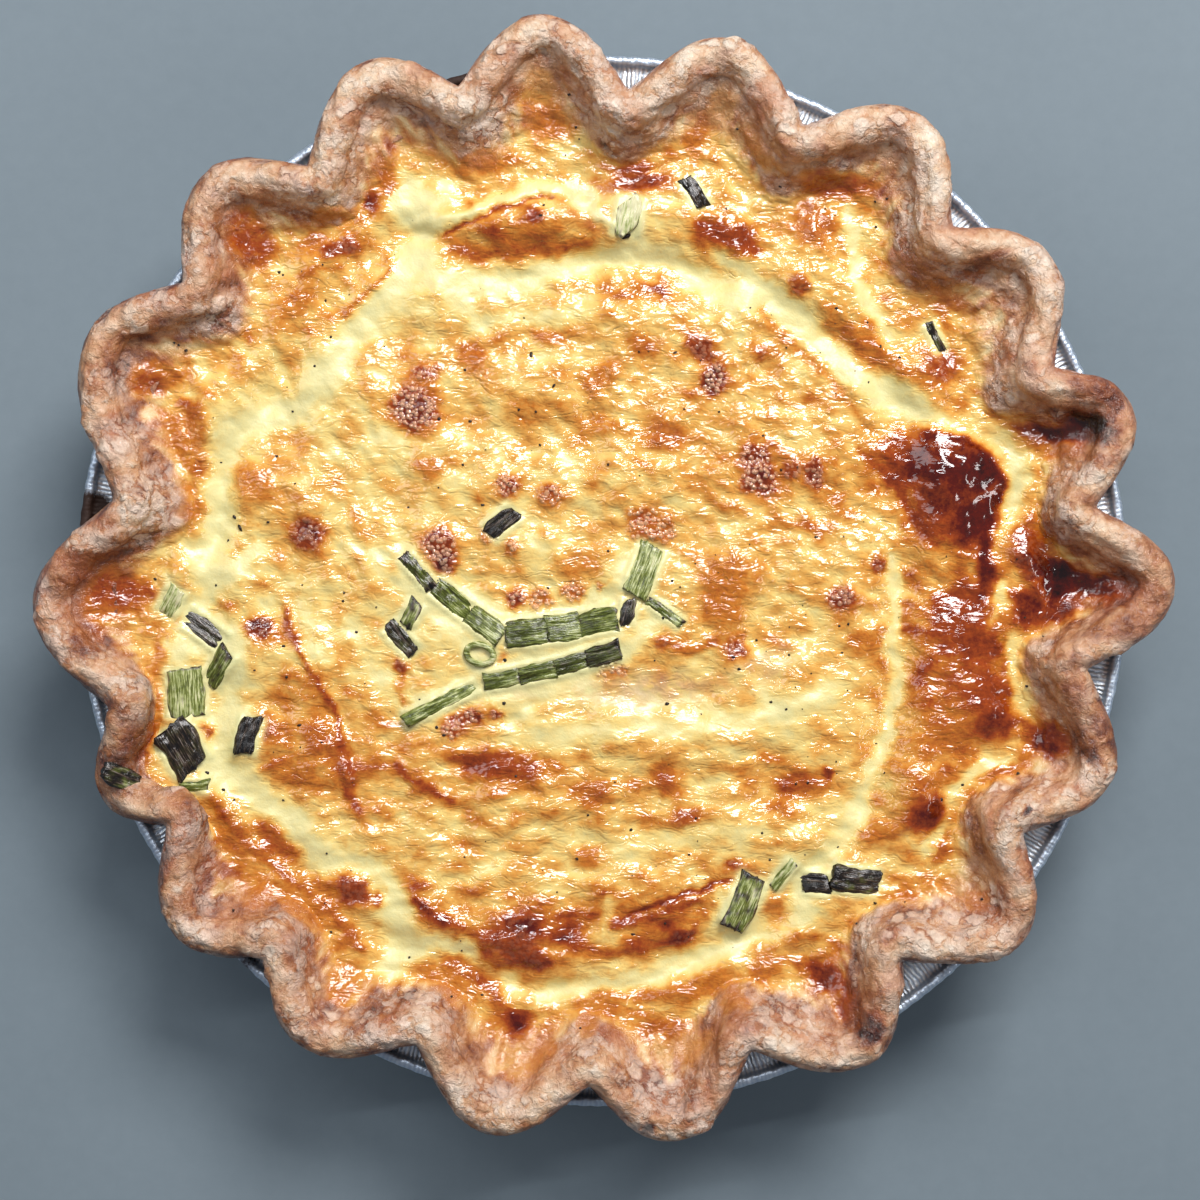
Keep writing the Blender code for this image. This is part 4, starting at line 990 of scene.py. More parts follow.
def skin_fields(x, y):
    """Relief, browning, beads, nearness to onion and ham of the custard's skin at each point."""
    u, v = map_place(x, y, RIM_LEVEL)
    bent_u, bent_v = wandering(u, v, SKIN_WANDER_SIZE, (41, 52))
    bent_u = bent_u + 2 * noise(u / 7, v / 7, 44)
    bent_v = bent_v + 2 * noise(u / 7, v / 7, 55)
    browning_and_shade = SKIN_TONE + WIDE_TONES * layered_noise(x / (15 * MM), y / (13 * MM), 61, 2)
    browning_and_shade = browning_and_shade + EDGE_TONE * smooth(EDGE_BAND, 0.0, inside_edge(x, y))
    for *oval, tone, strength in WASHES:
        browning_and_shade = toward(browning_and_shade, tone, strength * patch(bent_u, bent_v, oval))
    relief = wrinkle_field(x, y)
    blotches = layered_noise((x + 0.5 * y) / (7.5 * MM), y / (5.0 * MM), 65, 2)
    browning_and_shade = browning_and_shade + BLOTCH_TONES * blotches + FOLD_TONES * relief / MM
    for strength, width, sink, points in PALE_LINES:
        away = line_distance(bent_u, bent_v, points)
        share = strength * np.exp(-(((away / width) ** 2) ** PALE_LINE_POWER))
        browning_and_shade = toward(browning_and_shade, PALE_TONE, share)
        relief = relief * (1 - 0.6 * share) - sink * MM * share
    for tone, width, rise, points in BROWN_AND_SHADOW_LINES:
        share = bell(line_distance(toward(u, bent_u, 0.6), toward(v, bent_v, 0.6), points) / width)
        browning_and_shade = toward(browning_and_shade, tone, 0.9 * share)
        relief = relief + rise * MM * share
    beads = np.zeros(x.shape)
    for *oval, tone, rise, beading in SPOTS:
        share = patch(bent_u, bent_v, oval)
        browning_and_shade = toward(browning_and_shade, tone, np.clip(1.15 * share, 0, 1))
        relief = relief + rise * MM * share
        beads = np.maximum(beads, beading * smooth(0.35, 0.7, share))
    lumps = LUMP_HEIGHT * layered_noise(x / (7.5 * MM), y / (6 * MM), 67, 2)
    relief = relief * (1 - 0.45 * smooth(0.70, 0.88, browning_and_shade)) + lumps
    relief, browning_and_shade = sunk_rings(u, v, relief, browning_and_shade)
    near, rim = onion_nearness(x, y)
    browning_and_shade = toward(browning_and_shade, HALO_TONE, 0.7 * near)
    ragged = 1 + 0.5 * noise(x / (1.8 * MM), y / (1.8 * MM), 75)
    relief = relief * (1 - 0.8 * near) - HALO_SINK * near + RIM_RISE * rim * ragged
    ham = np.zeros(x.shape)
    for *oval, strength in HAM_PATCHES:
        ham = np.maximum(ham, strength * patch(bent_u, bent_v, oval))
    return relief, np.clip(browning_and_shade, 0, 1), beads, near, ham


def sunk_rings(u, v, relief, browning_and_shade):
    """The skin with the layers of cut onion showing through it."""
    for ring_u, ring_v, reach, spacing in SUNK_RINGS:
        away = np.hypot(u - ring_u, v - ring_v)
        share = smooth(reach, 0.7 * reach, away)
        layers = np.cos(2 * math.pi * away / spacing)
        relief = relief * (1 - 0.7 * share) + LAYER_RISE * share * layers
        browning_and_shade = toward(browning_and_shade, 0.12 - 0.05 * layers, 0.8 * share)
    return relief, browning_and_shade


def skin_level(x, y, relief):
    """Height of the custard's skin with its relief, which fades where it meets the pastry."""
    return custard_height(x, y) + relief * smooth(-5.0 * MM, 2.5 * MM, inside_edge(x, y))


def make_custard(material):
    """The custard's skin as a fine sheet that tucks in under the pastry's slope."""
    steps = int(2 * SHEET_REACH / CUSTARD_SPACING)
    line = np.linspace(-SHEET_REACH, SHEET_REACH, steps)
    x, y = np.meshgrid(line, line)
    outside = -inside_edge(x, y)
    relief, browning_and_shade, beads, near, ham = skin_fields(x, y)
    z = skin_level(x, y, relief) - TUCK_DEPTH * smooth(TUCK_START, CUSTARD_TUCK, outside)
    keep = outside < CUSTARD_TUCK
    row, column = np.nonzero(keep[:-1, :-1] & keep[1:, :-1] & keep[:-1, 1:] & keep[1:, 1:])
    start = row * steps + column
    faces = np.stack((start, start + 1, start + steps + 1, start + steps), axis=1)
    used, faces = np.unique(faces, return_inverse=True)
    points = np.stack([x.ravel(), y.ravel(), z.ravel()], axis=1)[used]
    masks = {"browning_and_shade": browning_and_shade, "beads": beads, "near_onion": near, "ham": ham}
    masks = {key: values.ravel()[used] for key, values in masks.items()}
    return mesh_object("custard_skin", points, faces.reshape(-1, 4).tolist(), material, masks)


# Pastry


def crust_grid():
    """Points of the pastry in rows: under its foot, over the crest, down the slope and under the custard."""
    angles = np.linspace(0, 2 * math.pi, CRUST_STATIONS, endpoint=False)
    crest = crest_height(angles)
    roll_level = crest - ROLL_HALF_WIDTH
    foot = crest_offset(angles, ROLL_HALF_WIDTH + FOOT_SPREAD, 1)
    start = TIN_SHOULDER_RADIUS + FOOT_START
    level = TIN_SHOULDER_HEIGHT + SHOULDER_LIFT
    rows = [(toward(start, foot, share), level + FOOT_RISE * share) for share in UNDER_SHARES]
    rows.append((foot, FOOT_HEIGHT))
    for share in SIDE_SHARES:
        half_width = ROLL_HALF_WIDTH + 0.8 * FOOT_SPREAD * (1 - share) ** 0.7
        rows.append((crest_offset(angles, half_width, 1), toward(FOOT_HEIGHT, roll_level, share)))
    for step in range(ROLL_STEPS + 1):
        turn = math.pi * step / ROLL_STEPS
        half_width = ROLL_HALF_WIDTH * abs(math.cos(turn))
        if half_width < CREST_LINE:
            radius = crest_radius(angles)
        else:
            radius = crest_offset(angles, half_width, 1 if math.cos(turn) > 0 else -1)
        rows.append((radius, roll_level + ROLL_HALF_WIDTH * math.sin(turn)))
    inner = crest_offset(angles, ROLL_HALF_WIDTH, -1)
    edge = custard_edge(angles)
    edge_height = CUSTARD_LEVEL + edge_lift(angles)
    for step in range(1, SLOPE_STEPS + 1):
        share = step / SLOPE_STEPS
        height = toward(edge_height, roll_level, (1 - share) ** SLOPE_CURVE)
        rows.append((toward(inner, edge, share), height))
    for step in range(1, SEAM_STEPS + 1):
        rows.append((edge - SEAM_REACH * step / SEAM_STEPS, edge_height))
    rows.append((edge - SEAM_REACH, edge_height - END_DROP))
    radius = np.array([row[0] for row in rows])
    height = np.array([row[1] + 0 * angles for row in rows])
    return np.stack([radius * np.cos(angles), radius * np.sin(angles), height], axis=2), angles


class PastryEdge:
    """The fluted pastry edge with its blisters, flakes, glaze, burns and painted shade, on a grid of points.

    Where a point lies is told by three shares: on_roll from the foot over the crest, slope from there down
    to the custard, and beyond from there to the end under the custard.
    """

    def __init__(self):
        self.grid, angles = crust_grid()
        rows, columns = self.grid.shape[:2]
        number = np.arange(rows)[:, None] * np.ones(columns)
        slope_start = ROLL_START + ROLL_STEPS
        self.on_roll = np.clip((number - ROLL_START) / ROLL_STEPS, 0, 1)
        self.slope = np.clip((number - slope_start) / SLOPE_STEPS, 0, 1)
        self.beyond = np.clip((number - slope_start - SLOPE_STEPS) / SEAM_STEPS, 0, 1)
        self.normal = grid_normals(self.grid)
        self.fade = smooth(0, 0.12, self.on_roll + 0.05) * (1 - smooth(0.82, 0.98, self.slope))
        self.slanted_x = self.grid[:, :, 0] + 0.8 * self.grid[:, :, 2]
        self.slanted_y = self.grid[:, :, 1] + 0.6 * self.grid[:, :, 2]
        steps_down = np.linalg.norm(np.diff(self.grid, axis=0), axis=2)
        self.down = np.concatenate([np.zeros((1, columns)), np.cumsum(steps_down, axis=0)])
        self.around = angles * np.ones((rows, 1))
        self.lobe = np.clip((crest_radius(self.around) - LOBE_START) / LOBE_LENGTH, 0, 1)
        self.gullies = self.streaks(3.4, 11, 171, 2) * self.lobe * smooth(0.05, 0.3, self.slope)

    def rough(self, size, seed, layers=3):
        """Noise over the surface, with a size in millimetres."""
        return layered_noise(self.slanted_x / (size * MM), self.slanted_y / (size * MM), seed, layers)

    def streaks(self, width, length, seed, layers=1):
        """Noise in streaks that run down the pastry and meet all the way round, sizes in millimetres."""
        right = smooth(-0.3, 0.3, np.cos(self.around))
        centred = (self.around + math.pi) % (2 * math.pi) - math.pi
        total = 0.0
        for share, turn, number in ((right, centred, seed), (1 - right, self.around, seed + 3)):
            along = turn * CRUST_MIDDLE / (width * MM)
            total = total + share * layered_noise(along, self.down / (length * MM), number, layers)
        return total

    def push_out(self, height):
        """Moves the surface out by a height in millimetres, fading at the foot and at the custard."""
        self.grid = self.grid + self.normal * (height * MM * self.fade)[:, :, None]

    def swell(self):
        """Raises the broad swells, and the gullies that run down into each flute."""
        swells = 0.75 * self.rough(13, 101, 2) + 0.55 * self.rough(5.5, 107, 1)
        self.push_out(swells + 0.24 * self.rough(2.8, 109, 1) - 0.3 + 0.55 * self.gullies)

    def brown(self):
        """Sets the browning, painted shade included, the flakes and the egg's creep, before the spots."""
        x, y, z = np.moveaxis(self.grid, 2, 0)
        self.bent = wandering(*map_place(x, y, z), CRUST_WANDER_SIZE, (141, 152))
        start = 0.80 - 0.52 * self.lobe
        ragged = self.slope + 0.20 * self.rough(7, 161) + 0.16 * self.gullies
        self.creep = np.maximum(smooth(start - 0.14, start + 0.12, ragged), smooth(0.70, 0.86, self.slope))
        flaky = 0.30 + 0.70 * self.rough(12, 111, 2)
        for *oval, strength in FLAKY_PATCHES:
            flaky = np.maximum(flaky, strength * patch(*self.bent, oval))
        self.flaky = np.clip(flaky, 0, 1)
        # Partly the pastry's own tone and partly painted light: crest tops that face the light are made
        # paler, and the slope below them a little browner, as painted shade.
        crest_top = bell((self.on_roll - 0.42) / 0.24)
        browning_and_shade = CRUST_TONE + 0.21 * self.rough(8, 121) + 0.08 * smooth(0.0, 0.3, self.slope)
        browning_and_shade = browning_and_shade - 0.17 * crest_top - 0.08 * self.flaky
        # Painted shade: browner, so darker, towards the left and the low side, which face away from the
        # window light.
        browning_and_shade = browning_and_shade + 0.11 * smooth(-30 * MM, -110 * MM, x) + 0.06 * smooth(-20 * MM, -100 * MM, y)
        # Painted shade: darker down the outer side of the crest to its foot.
        browning_and_shade = browning_and_shade + 0.12 * smooth(0.30, 0.0, self.on_roll)
        ran = RAN_TONE + 0.34 * self.streaks(2.6, 9, 167, 2) + 0.20 * self.rough(4.5, 165, 2)
        self.browning_and_shade = toward(browning_and_shade, ran, self.creep)

    def meet_skin(self):
        """Takes over the browning and the relief of the custard's skin where the two meet."""
        self.relief = np.zeros(self.slope.shape)
        below = self.slope[:, 0] > 0.3
        self.relief[below], skin_browning_and_shade, *_ = skin_fields(self.grid[below, :, 0], self.grid[below, :, 1])
        share = smooth(0.45, 0.86, self.slope[below])
        self.browning_and_shade[below] = toward(self.browning_and_shade[below], skin_browning_and_shade, share)

    def glaze(self):
        """Lays on the glazed and burnt spots."""
        self.gloss = 0.30 * smooth(0.0, 0.5, self.slope)
        self.egg = self.creep * (0.42 + 0.58 * smooth(0.50, 0.84, self.slope))
        for *oval, tone, gloss in CRUST_SPOTS:
            share = patch(*self.bent, oval) * (1 - self.beyond)
            self.browning_and_shade = toward(self.browning_and_shade, tone, np.clip(1.1 * share, 0, 1))
            self.gloss = np.maximum(self.gloss, gloss * share)
            wet = 0.9 * gloss * smooth(0.15, 0.6, share) * smooth(0.02, 0.25, self.slope)
            self.egg = np.maximum(self.egg, wet)
            self.flaky = self.flaky * (1 - 0.85 * share)

    def flake(self):
        """Lifts the plates and the layers that show at the foot."""
        cell_x = self.slanted_x / PLATE_SIZE + 0.5 * self.rough(3, 131, 2)
        cell_y = self.slanted_y / PLATE_SIZE + 0.5 * self.rough(3, 132, 2)
        first, second, tone = cells(cell_x, cell_y, 133)
        lifted = self.flaky * smooth(0.03, 0.22, second - first) * smooth(0.35, 0.5, tone)
        layers = self.streaks(16, 0.85, 139) * smooth(0.22, 0.05, self.on_roll)
        self.push_out(0.50 * lifted - 0.15 * self.flaky + 0.26 * layers + 0.20 * self.rough(2.3, 143, 2))
        plates = (lifted - 0.4 * self.flaky) * (1 - self.egg)
        self.browning_and_shade = self.browning_and_shade - 0.10 * plates - 0.08 * layers

    def settle(self):
        """Lays the slope's end on the custard's skin, tucks it under and keeps the crest in its box."""
        z = self.grid[:, :, 2]
        level = skin_level(self.grid[:, :, 0], self.grid[:, :, 1], self.relief)
        seam = level + SEAM_LIFT * (1 - self.beyond) - SEAM_DIP * self.beyond**2
        z = toward(z, np.maximum(z, seam), smooth(0.55, 0.8, self.slope))
        z = toward(z, seam, smooth(0.84, 0.99, self.slope))
        z[-1] = level[-1] - END_DROP
        above = np.maximum(z - CREST_LIMIT, 0)
        self.grid[:, :, 2] = z - above + CREST_SOFTNESS * np.tanh(above / CREST_SOFTNESS)

    def masks(self):
        """The masks that the pastry's material reads."""
        flake = self.flaky * (1 - 0.8 * self.egg)
        masks = {"browning_and_shade": self.browning_and_shade, "flake": flake, "gloss": self.gloss, "egg": self.egg}
        return {key: np.clip(values, 0, 1) for key, values in masks.items()}


def make_crust(material):
    """The fluted pastry edge as one mesh."""
    edge = PastryEdge()
    edge.swell()
    edge.brown()
    edge.meet_skin()
    edge.glaze()
    edge.flake()
    edge.settle()
    faces = grid_faces(*edge.grid.shape[:2])
    return mesh_object("pastry_edge", edge.grid.reshape(-1, 3), faces, material, edge.masks())


# Foil tin


def tin_outline():
    """Radius and height of the foil from its middle up the inside, round the roll and back down outside."""
    roll_centre = TIN_RIM_RADIUS - TIN_ROLL_RADIUS
    flange_end = roll_centre - TIN_ROLL_RADIUS
    levels = np.linspace(TIN_SIDE_START, TIN_SHOULDER_HEIGHT, TIN_SIDE_STEPS)
    base = (0.0, 30 * MM, 60 * MM, 80 * MM, TIN_BASE_RADIUS - 2.5 * MM)
    outline = [(radius, FOIL) for radius in base]
    outline += [(TIN_BASE_RADIUS - FOIL, 0.9 * MM)]
    outline += [(tin_wall_radius(level) - FOIL, level) for level in levels]
    for share in (0.15, 0.45, 0.75, 0.95):
        dip = FLANGE_DIP * smooth(0.6, 1.0, share)
        outline.append((toward(TIN_SHOULDER_RADIUS, flange_end, share), TIN_SHOULDER_HEIGHT + FOIL - dip))
    for angle in np.radians(np.linspace(170, -150, TIN_ROLL_STEPS)):
        radius = roll_centre + TIN_ROLL_RADIUS * math.cos(angle)
        outline.append((radius, TIN_ROLL_HEIGHT + TIN_ROLL_RADIUS * math.sin(angle)))
    for share in (0.9, 0.5, 0.1):
        outline.append((toward(TIN_SHOULDER_RADIUS, flange_end, share), TIN_SHOULDER_HEIGHT))
    outline += [(tin_wall_radius(level), level) for level in levels[::-1]]
    outline += [(TIN_BASE_RADIUS, 0.5 * MM), (TIN_BASE_RADIUS - 1.0 * MM, 0.0), (60 * MM, 0.0), (0.0, 0.0)]
    return np.array(outline)


def make_tin(material):
    """The foil tin with pleats on its side and flange, a knurled roll and burnt marks."""
    outline = tin_outline()
    roll_centre = TIN_RIM_RADIUS - TIN_ROLL_RADIUS
    flange_end = roll_centre - TIN_ROLL_RADIUS
    flange_start = TIN_SHOULDER_RADIUS + 0.2 * MM
    angles = np.linspace(0, 2 * math.pi, TIN_STATIONS, endpoint=False)
    radius, height = (outline[:, part][:, None] * np.ones(TIN_STATIONS) for part in (0, 1))
    side = smooth(1.5 * MM, 5 * MM, height) * (radius > TIN_BASE_RADIUS - 1 * MM) * (radius < flange_start)
    flange = (radius > flange_start) & (radius < flange_end)
    shake = 0.25 * noise(angles * 14, angles * 0, 201)
    pleat = np.abs(((angles * SIDE_PLEATS / (2 * math.pi) + shake) % 1.0) * 2 - 1) - 0.5
    radius = radius + side * SIDE_PLEAT_DEPTH * pleat
    height = height + flange * FLANGE_PLEAT_DEPTH * pleat
    turn = np.arctan2(height - TIN_ROLL_HEIGHT, radius - roll_centre)
    roll = np.hypot(radius - roll_centre, height - TIN_ROLL_HEIGHT) < TIN_ROLL_RADIUS * 1.05
    roll = roll & (radius > flange_end - 0.1 * MM)
    waver = 1.5 * noise(angles * 40, angles * 0, 207)
    knurl = KNURL_DEPTH * np.sin(angles * ROLL_KNURLS + turn * 2.2 + waver)
    dent = ROLL_DENT * layered_noise(angles * 30, turn, 209, 2)
    radius = radius + roll * (knurl + dent) * np.cos(turn)
    height = height + roll * (knurl + dent) * np.sin(turn)
    points = np.stack([radius * np.cos(angles), radius * np.sin(angles), np.maximum(height, 0)], axis=2)
    char = smooth(0.25, 0.65, layered_noise(angles * 5.2, angles * 0 + 3.0, 213, 2)) * (height > 20 * MM)
    char = 0.8 * char * smooth(TIN_SHOULDER_RADIUS, flange_end - 1.5 * MM, radius)
    on_flange = smooth(TIN_SHOULDER_RADIUS - 0.5 * MM, TIN_SHOULDER_RADIUS + 1.0 * MM, radius)
    masks = {"char": np.clip(char, 0, 1), "flange": on_flange * (1 - 0.75 * roll)}
    faces = grid_faces(len(outline), TIN_STATIONS)
    return mesh_object("pressed_foil_tin", points.reshape(-1, 3), faces, material, masks)


# Spring onion


def surface_height(x, y):
    """Height of what carries a piece: the custard, and the pastry's slope and crest beyond it."""
    radius = math.hypot(x, y)
    angles = np.array([math.atan2(y, x)])
    foot = float(custard_edge(angles)[0])
    if radius <= foot:
        return float(custard_height(np.array([x]), np.array([y]))[0])
    inner = float(crest_offset(angles, ROLL_HALF_WIDTH, -1)[0])
    top = float(crest_height(angles)[0]) - ROLL_HALF_WIDTH
    if radius > inner:
        across = min(radius - float(crest_radius(angles)[0]), 0.0)
        return top + math.sqrt(max(ROLL_HALF_WIDTH**2 - across**2, 0.0))
    foot_height = CUSTARD_LEVEL + float(edge_lift(angles)[0])
    share = (radius - inner) / (foot - inner)
    return foot_height + (top - foot_height) * (1 - share) ** SLOPE_CURVE


def seat(x, y, turn, lift):
    """A matrix that lays a piece on the surface, turned about its normal, with its middle lifted along it."""
    reach = 2.0 * MM
    rise_x = surface_height(x + reach, y) - surface_height(x - reach, y)
    rise_y = surface_height(x, y + reach) - surface_height(x, y - reach)
    normal = Vector((-rise_x / (2 * reach), -rise_y / (2 * reach), 1.0)).normalized()
    tilt = normal.to_track_quat("Z", "Y").to_matrix().to_4x4()
    flat_x = tilt.inverted() @ Vector((math.cos(turn), math.sin(turn), 0.0))
    heading = Matrix.Rotation(math.atan2(flat_x.y, flat_x.x), 4, "Z")
    place = Vector((x, y, surface_height(x, y))) + normal * lift
    return Matrix.Translation(place) @ tilt @ heading


def make_leaf(node, row, number, material):
    """A cut length of leaf pressed flat: ribs along it, a fold down its middle and ragged cut ends."""
    middle_x, middle_y, heading, length, width, thickness, greenness, charring = row
    length, width, thickness = length * MM + LEAF_OVERLAP, width * MM, thickness * MM
    run = np.linspace(-1, 1, LEAF_STEPS)[:, None] * np.ones(LEAF_SIDES)
    around = np.linspace(0, 2 * math.pi, LEAF_SIDES, endpoint=False) * np.ones((LEAF_STEPS, 1))
    section = (np.cos(around), np.sin(around))
    across, up = (np.sign(part) * np.abs(part) ** LEAF_SQUARENESS for part in section)
    frayed = 1 + 0.06 * noise(across * 3.1 + number * 9.7, run * 0 + number, 301) * np.abs(run) ** 6
    x = run * length / 2 * frayed
    notches = noise(across * 7, run * 0 + number * 3.3, 303)
    x = x + LEAF_NOTCH * np.sign(run) * np.abs(run) ** 8 * notches
    slant = 0.04 if node.startswith(("onion_long", "onion_row")) else 0.16
    x = x + across * width * slant * math.sin(4.1 * number + 1)
    rounded = 1 - ROUND_PIECES.get(node, LEAF_ROUNDNESS) * np.abs(run) ** 2.6
    squeeze = np.sqrt(np.clip(rounded, 0.02, 1)) + 0.13 * noise(run * 1.6 + number, across * 0.7, 305)
    y = across * width / 2 * squeeze + 0.09 * width * math.sin(2.3 * number) * (run**2 - 0.33)
    fold = bell((across - 0.35 * math.sin(1.7 * number)) / 0.12) * (width > 4 * MM)
    stray = 0.1 * MM * noise(x / (3 * MM), y / (2 * MM), 307 + number)
    rib = np.cos(2 * np.pi * (y + stray) / RIB_SPACING)
    top = np.clip(up, 0, 1)
    bumps = LEAF_BUMPS * layered_noise(x / (3.2 * MM), y / (1.6 * MM), 311 + number, 2)
    droop = 0.25 * MM * np.abs(run) ** 4
    z = up * thickness / 2 + top * (RIB_HEIGHT * rib + bumps - 0.20 * thickness * fold - droop)
    points = np.stack([x, y, z], axis=2).reshape(-1, 3)
    points = np.concatenate([points, [[x[0].mean(), 0, 0], [x[-1].mean(), 0, 0]]])
    faces = grid_faces(LEAF_STEPS, LEAF_SIDES)
    end_point = LEAF_STEPS * LEAF_SIDES
    last_row = end_point - LEAF_SIDES
    for i in range(LEAF_SIDES):
        j = (i + 1) % LEAF_SIDES
        faces += [[i, end_point, j], [last_row + j, end_point + 1, last_row + i]]
    ends = np.maximum(np.abs(run) ** 10, 0.8 * np.abs(across) ** 6)
    blotches = layered_noise(x / (2.6 * MM), y / (1.4 * MM), 317 + number, 2)
    char = charring + (0.45 * ends + 0.35 * blotches) * (charring > 0.02)
    char = np.concatenate([np.clip(char, 0, 1).ravel(), [charring, charring]])
    masks = {"char": char, "green": np.full(len(points), greenness)}
    piece = mesh_object(node + "_leaf", points, faces, material, masks)
    lift = thickness * (0.5 - SUNK_SHARE)
    piece.matrix_world = seat(middle_x * MM, middle_y * MM, math.radians(heading), lift)
    return piece


def make_leaf_ring(material):
    """The piece cut across the stem: an oval ring of thin wall."""
    middle_x, middle_y, heading, length, width, wall = ONION_RING
    length, width, wall = length * MM, width * MM, wall * MM
    turn = np.linspace(0, 2 * math.pi, RING_STEPS, endpoint=False)[:, None] * np.ones(RING_SIDES)
    side = np.linspace(0, 2 * math.pi, RING_SIDES, endpoint=False) * np.ones((RING_STEPS, 1))
    radius = wall / 2 * (1 + 0.15 * noise(turn * 3, side, 331))
    out = radius * np.cos(side) - wall / 2
    x = (length / 2 + out) * np.cos(turn)
    y = (width / 2 + out) * np.sin(turn)
    z = 1.15 * radius * np.sin(side)
    points = np.stack([x, y, z], axis=2).reshape(-1, 3)
    faces = grid_faces(RING_STEPS, RING_SIDES)
    last_row = (RING_STEPS - 1) * RING_SIDES
    for i in range(RING_SIDES):
        j = (i + 1) % RING_SIDES
        faces.append([last_row + i, last_row + j, j, i])
    masks = {"char": np.full(len(points), 0.05), "green": np.full(len(points), 0.8)}
    piece = mesh_object("onion_ring_e_leaf", points, faces, material, masks)
    piece.matrix_world = seat(middle_x * MM, middle_y * MM, math.radians(heading), RING_LIFT)
    return piece


# Specks


def speck_shape():
    """Points and faces of a small rough ball."""
    bm = bmesh.new()
    bmesh.ops.create_icosphere(bm, subdivisions=1, radius=0.5)
    points = np.array([vert.co[:] for vert in bm.verts])
    faces = [[vert.index for vert in face.verts] for face in bm.faces]
    bm.free()
    return points, faces


def speck_rows(draw):
    """Place in metres, length, width and turn of each speck: the placed ones, then the drawn ones."""
    rows = []
    for u, v, length, width, turn in LARGE_SPECKS:
        rows.append((*from_map(u, v), length * MAP_UNIT, width * MAP_UNIT, turn))
    for _ in range(RANDOM_SPECKS):
        angle, share = draw.uniform(0, 2 * math.pi), math.sqrt(draw.uniform(0, 1))
        x, y = share * SPECK_REACH * math.cos(angle), share * SPECK_REACH * math.sin(angle)
        size = draw.uniform(*SPECK_SIZES)
        rows.append((x, y, size * draw.uniform(1, 1.6), size, draw.uniform(0, 180)))
    return rows


def make_specks(skin, material):
    """Pepper, seeds and char flecks pressed into the skin, as one mesh."""
    ball, ball_faces = speck_shape()
    draw = np.random.default_rng(SPECK_SEED)
    rows = speck_rows(draw)
    points, faces = [], []
    graph = bpy.context.evaluated_depsgraph_get()
    for number, (x, y, length, width, turn) in enumerate(rows):
        hit, place, _, _ = skin.ray_cast(Vector((x, y, 0.2)), Vector((0, 0, -1)), depsgraph=graph)
        height = place.z if hit else surface_height(x, y)
        if math.hypot(x, y) > float(custard_edge(np.array([math.atan2(y, x)]))[0]):
            height = max(height, surface_height(x, y))
        rough = ball * (1 + draw.uniform(-0.25, 0.25, (len(ball), 1)))
        sized = rough * (length, width, min(width, SPECK_THICKNESS) * 0.8)
        cosine, sine = math.cos(math.radians(turn)), math.sin(math.radians(turn))
        spun = sized @ np.array([[cosine, sine, 0], [-sine, cosine, 0], [0, 0, 1]])
        points.append(spun + (x, y, height + SPECK_LIFT))
        faces += [[number * len(ball) + corner for corner in face] for face in ball_faces]
    return mesh_object("pepper_and_char_specks", np.concatenate(points), faces, material)


# Materials


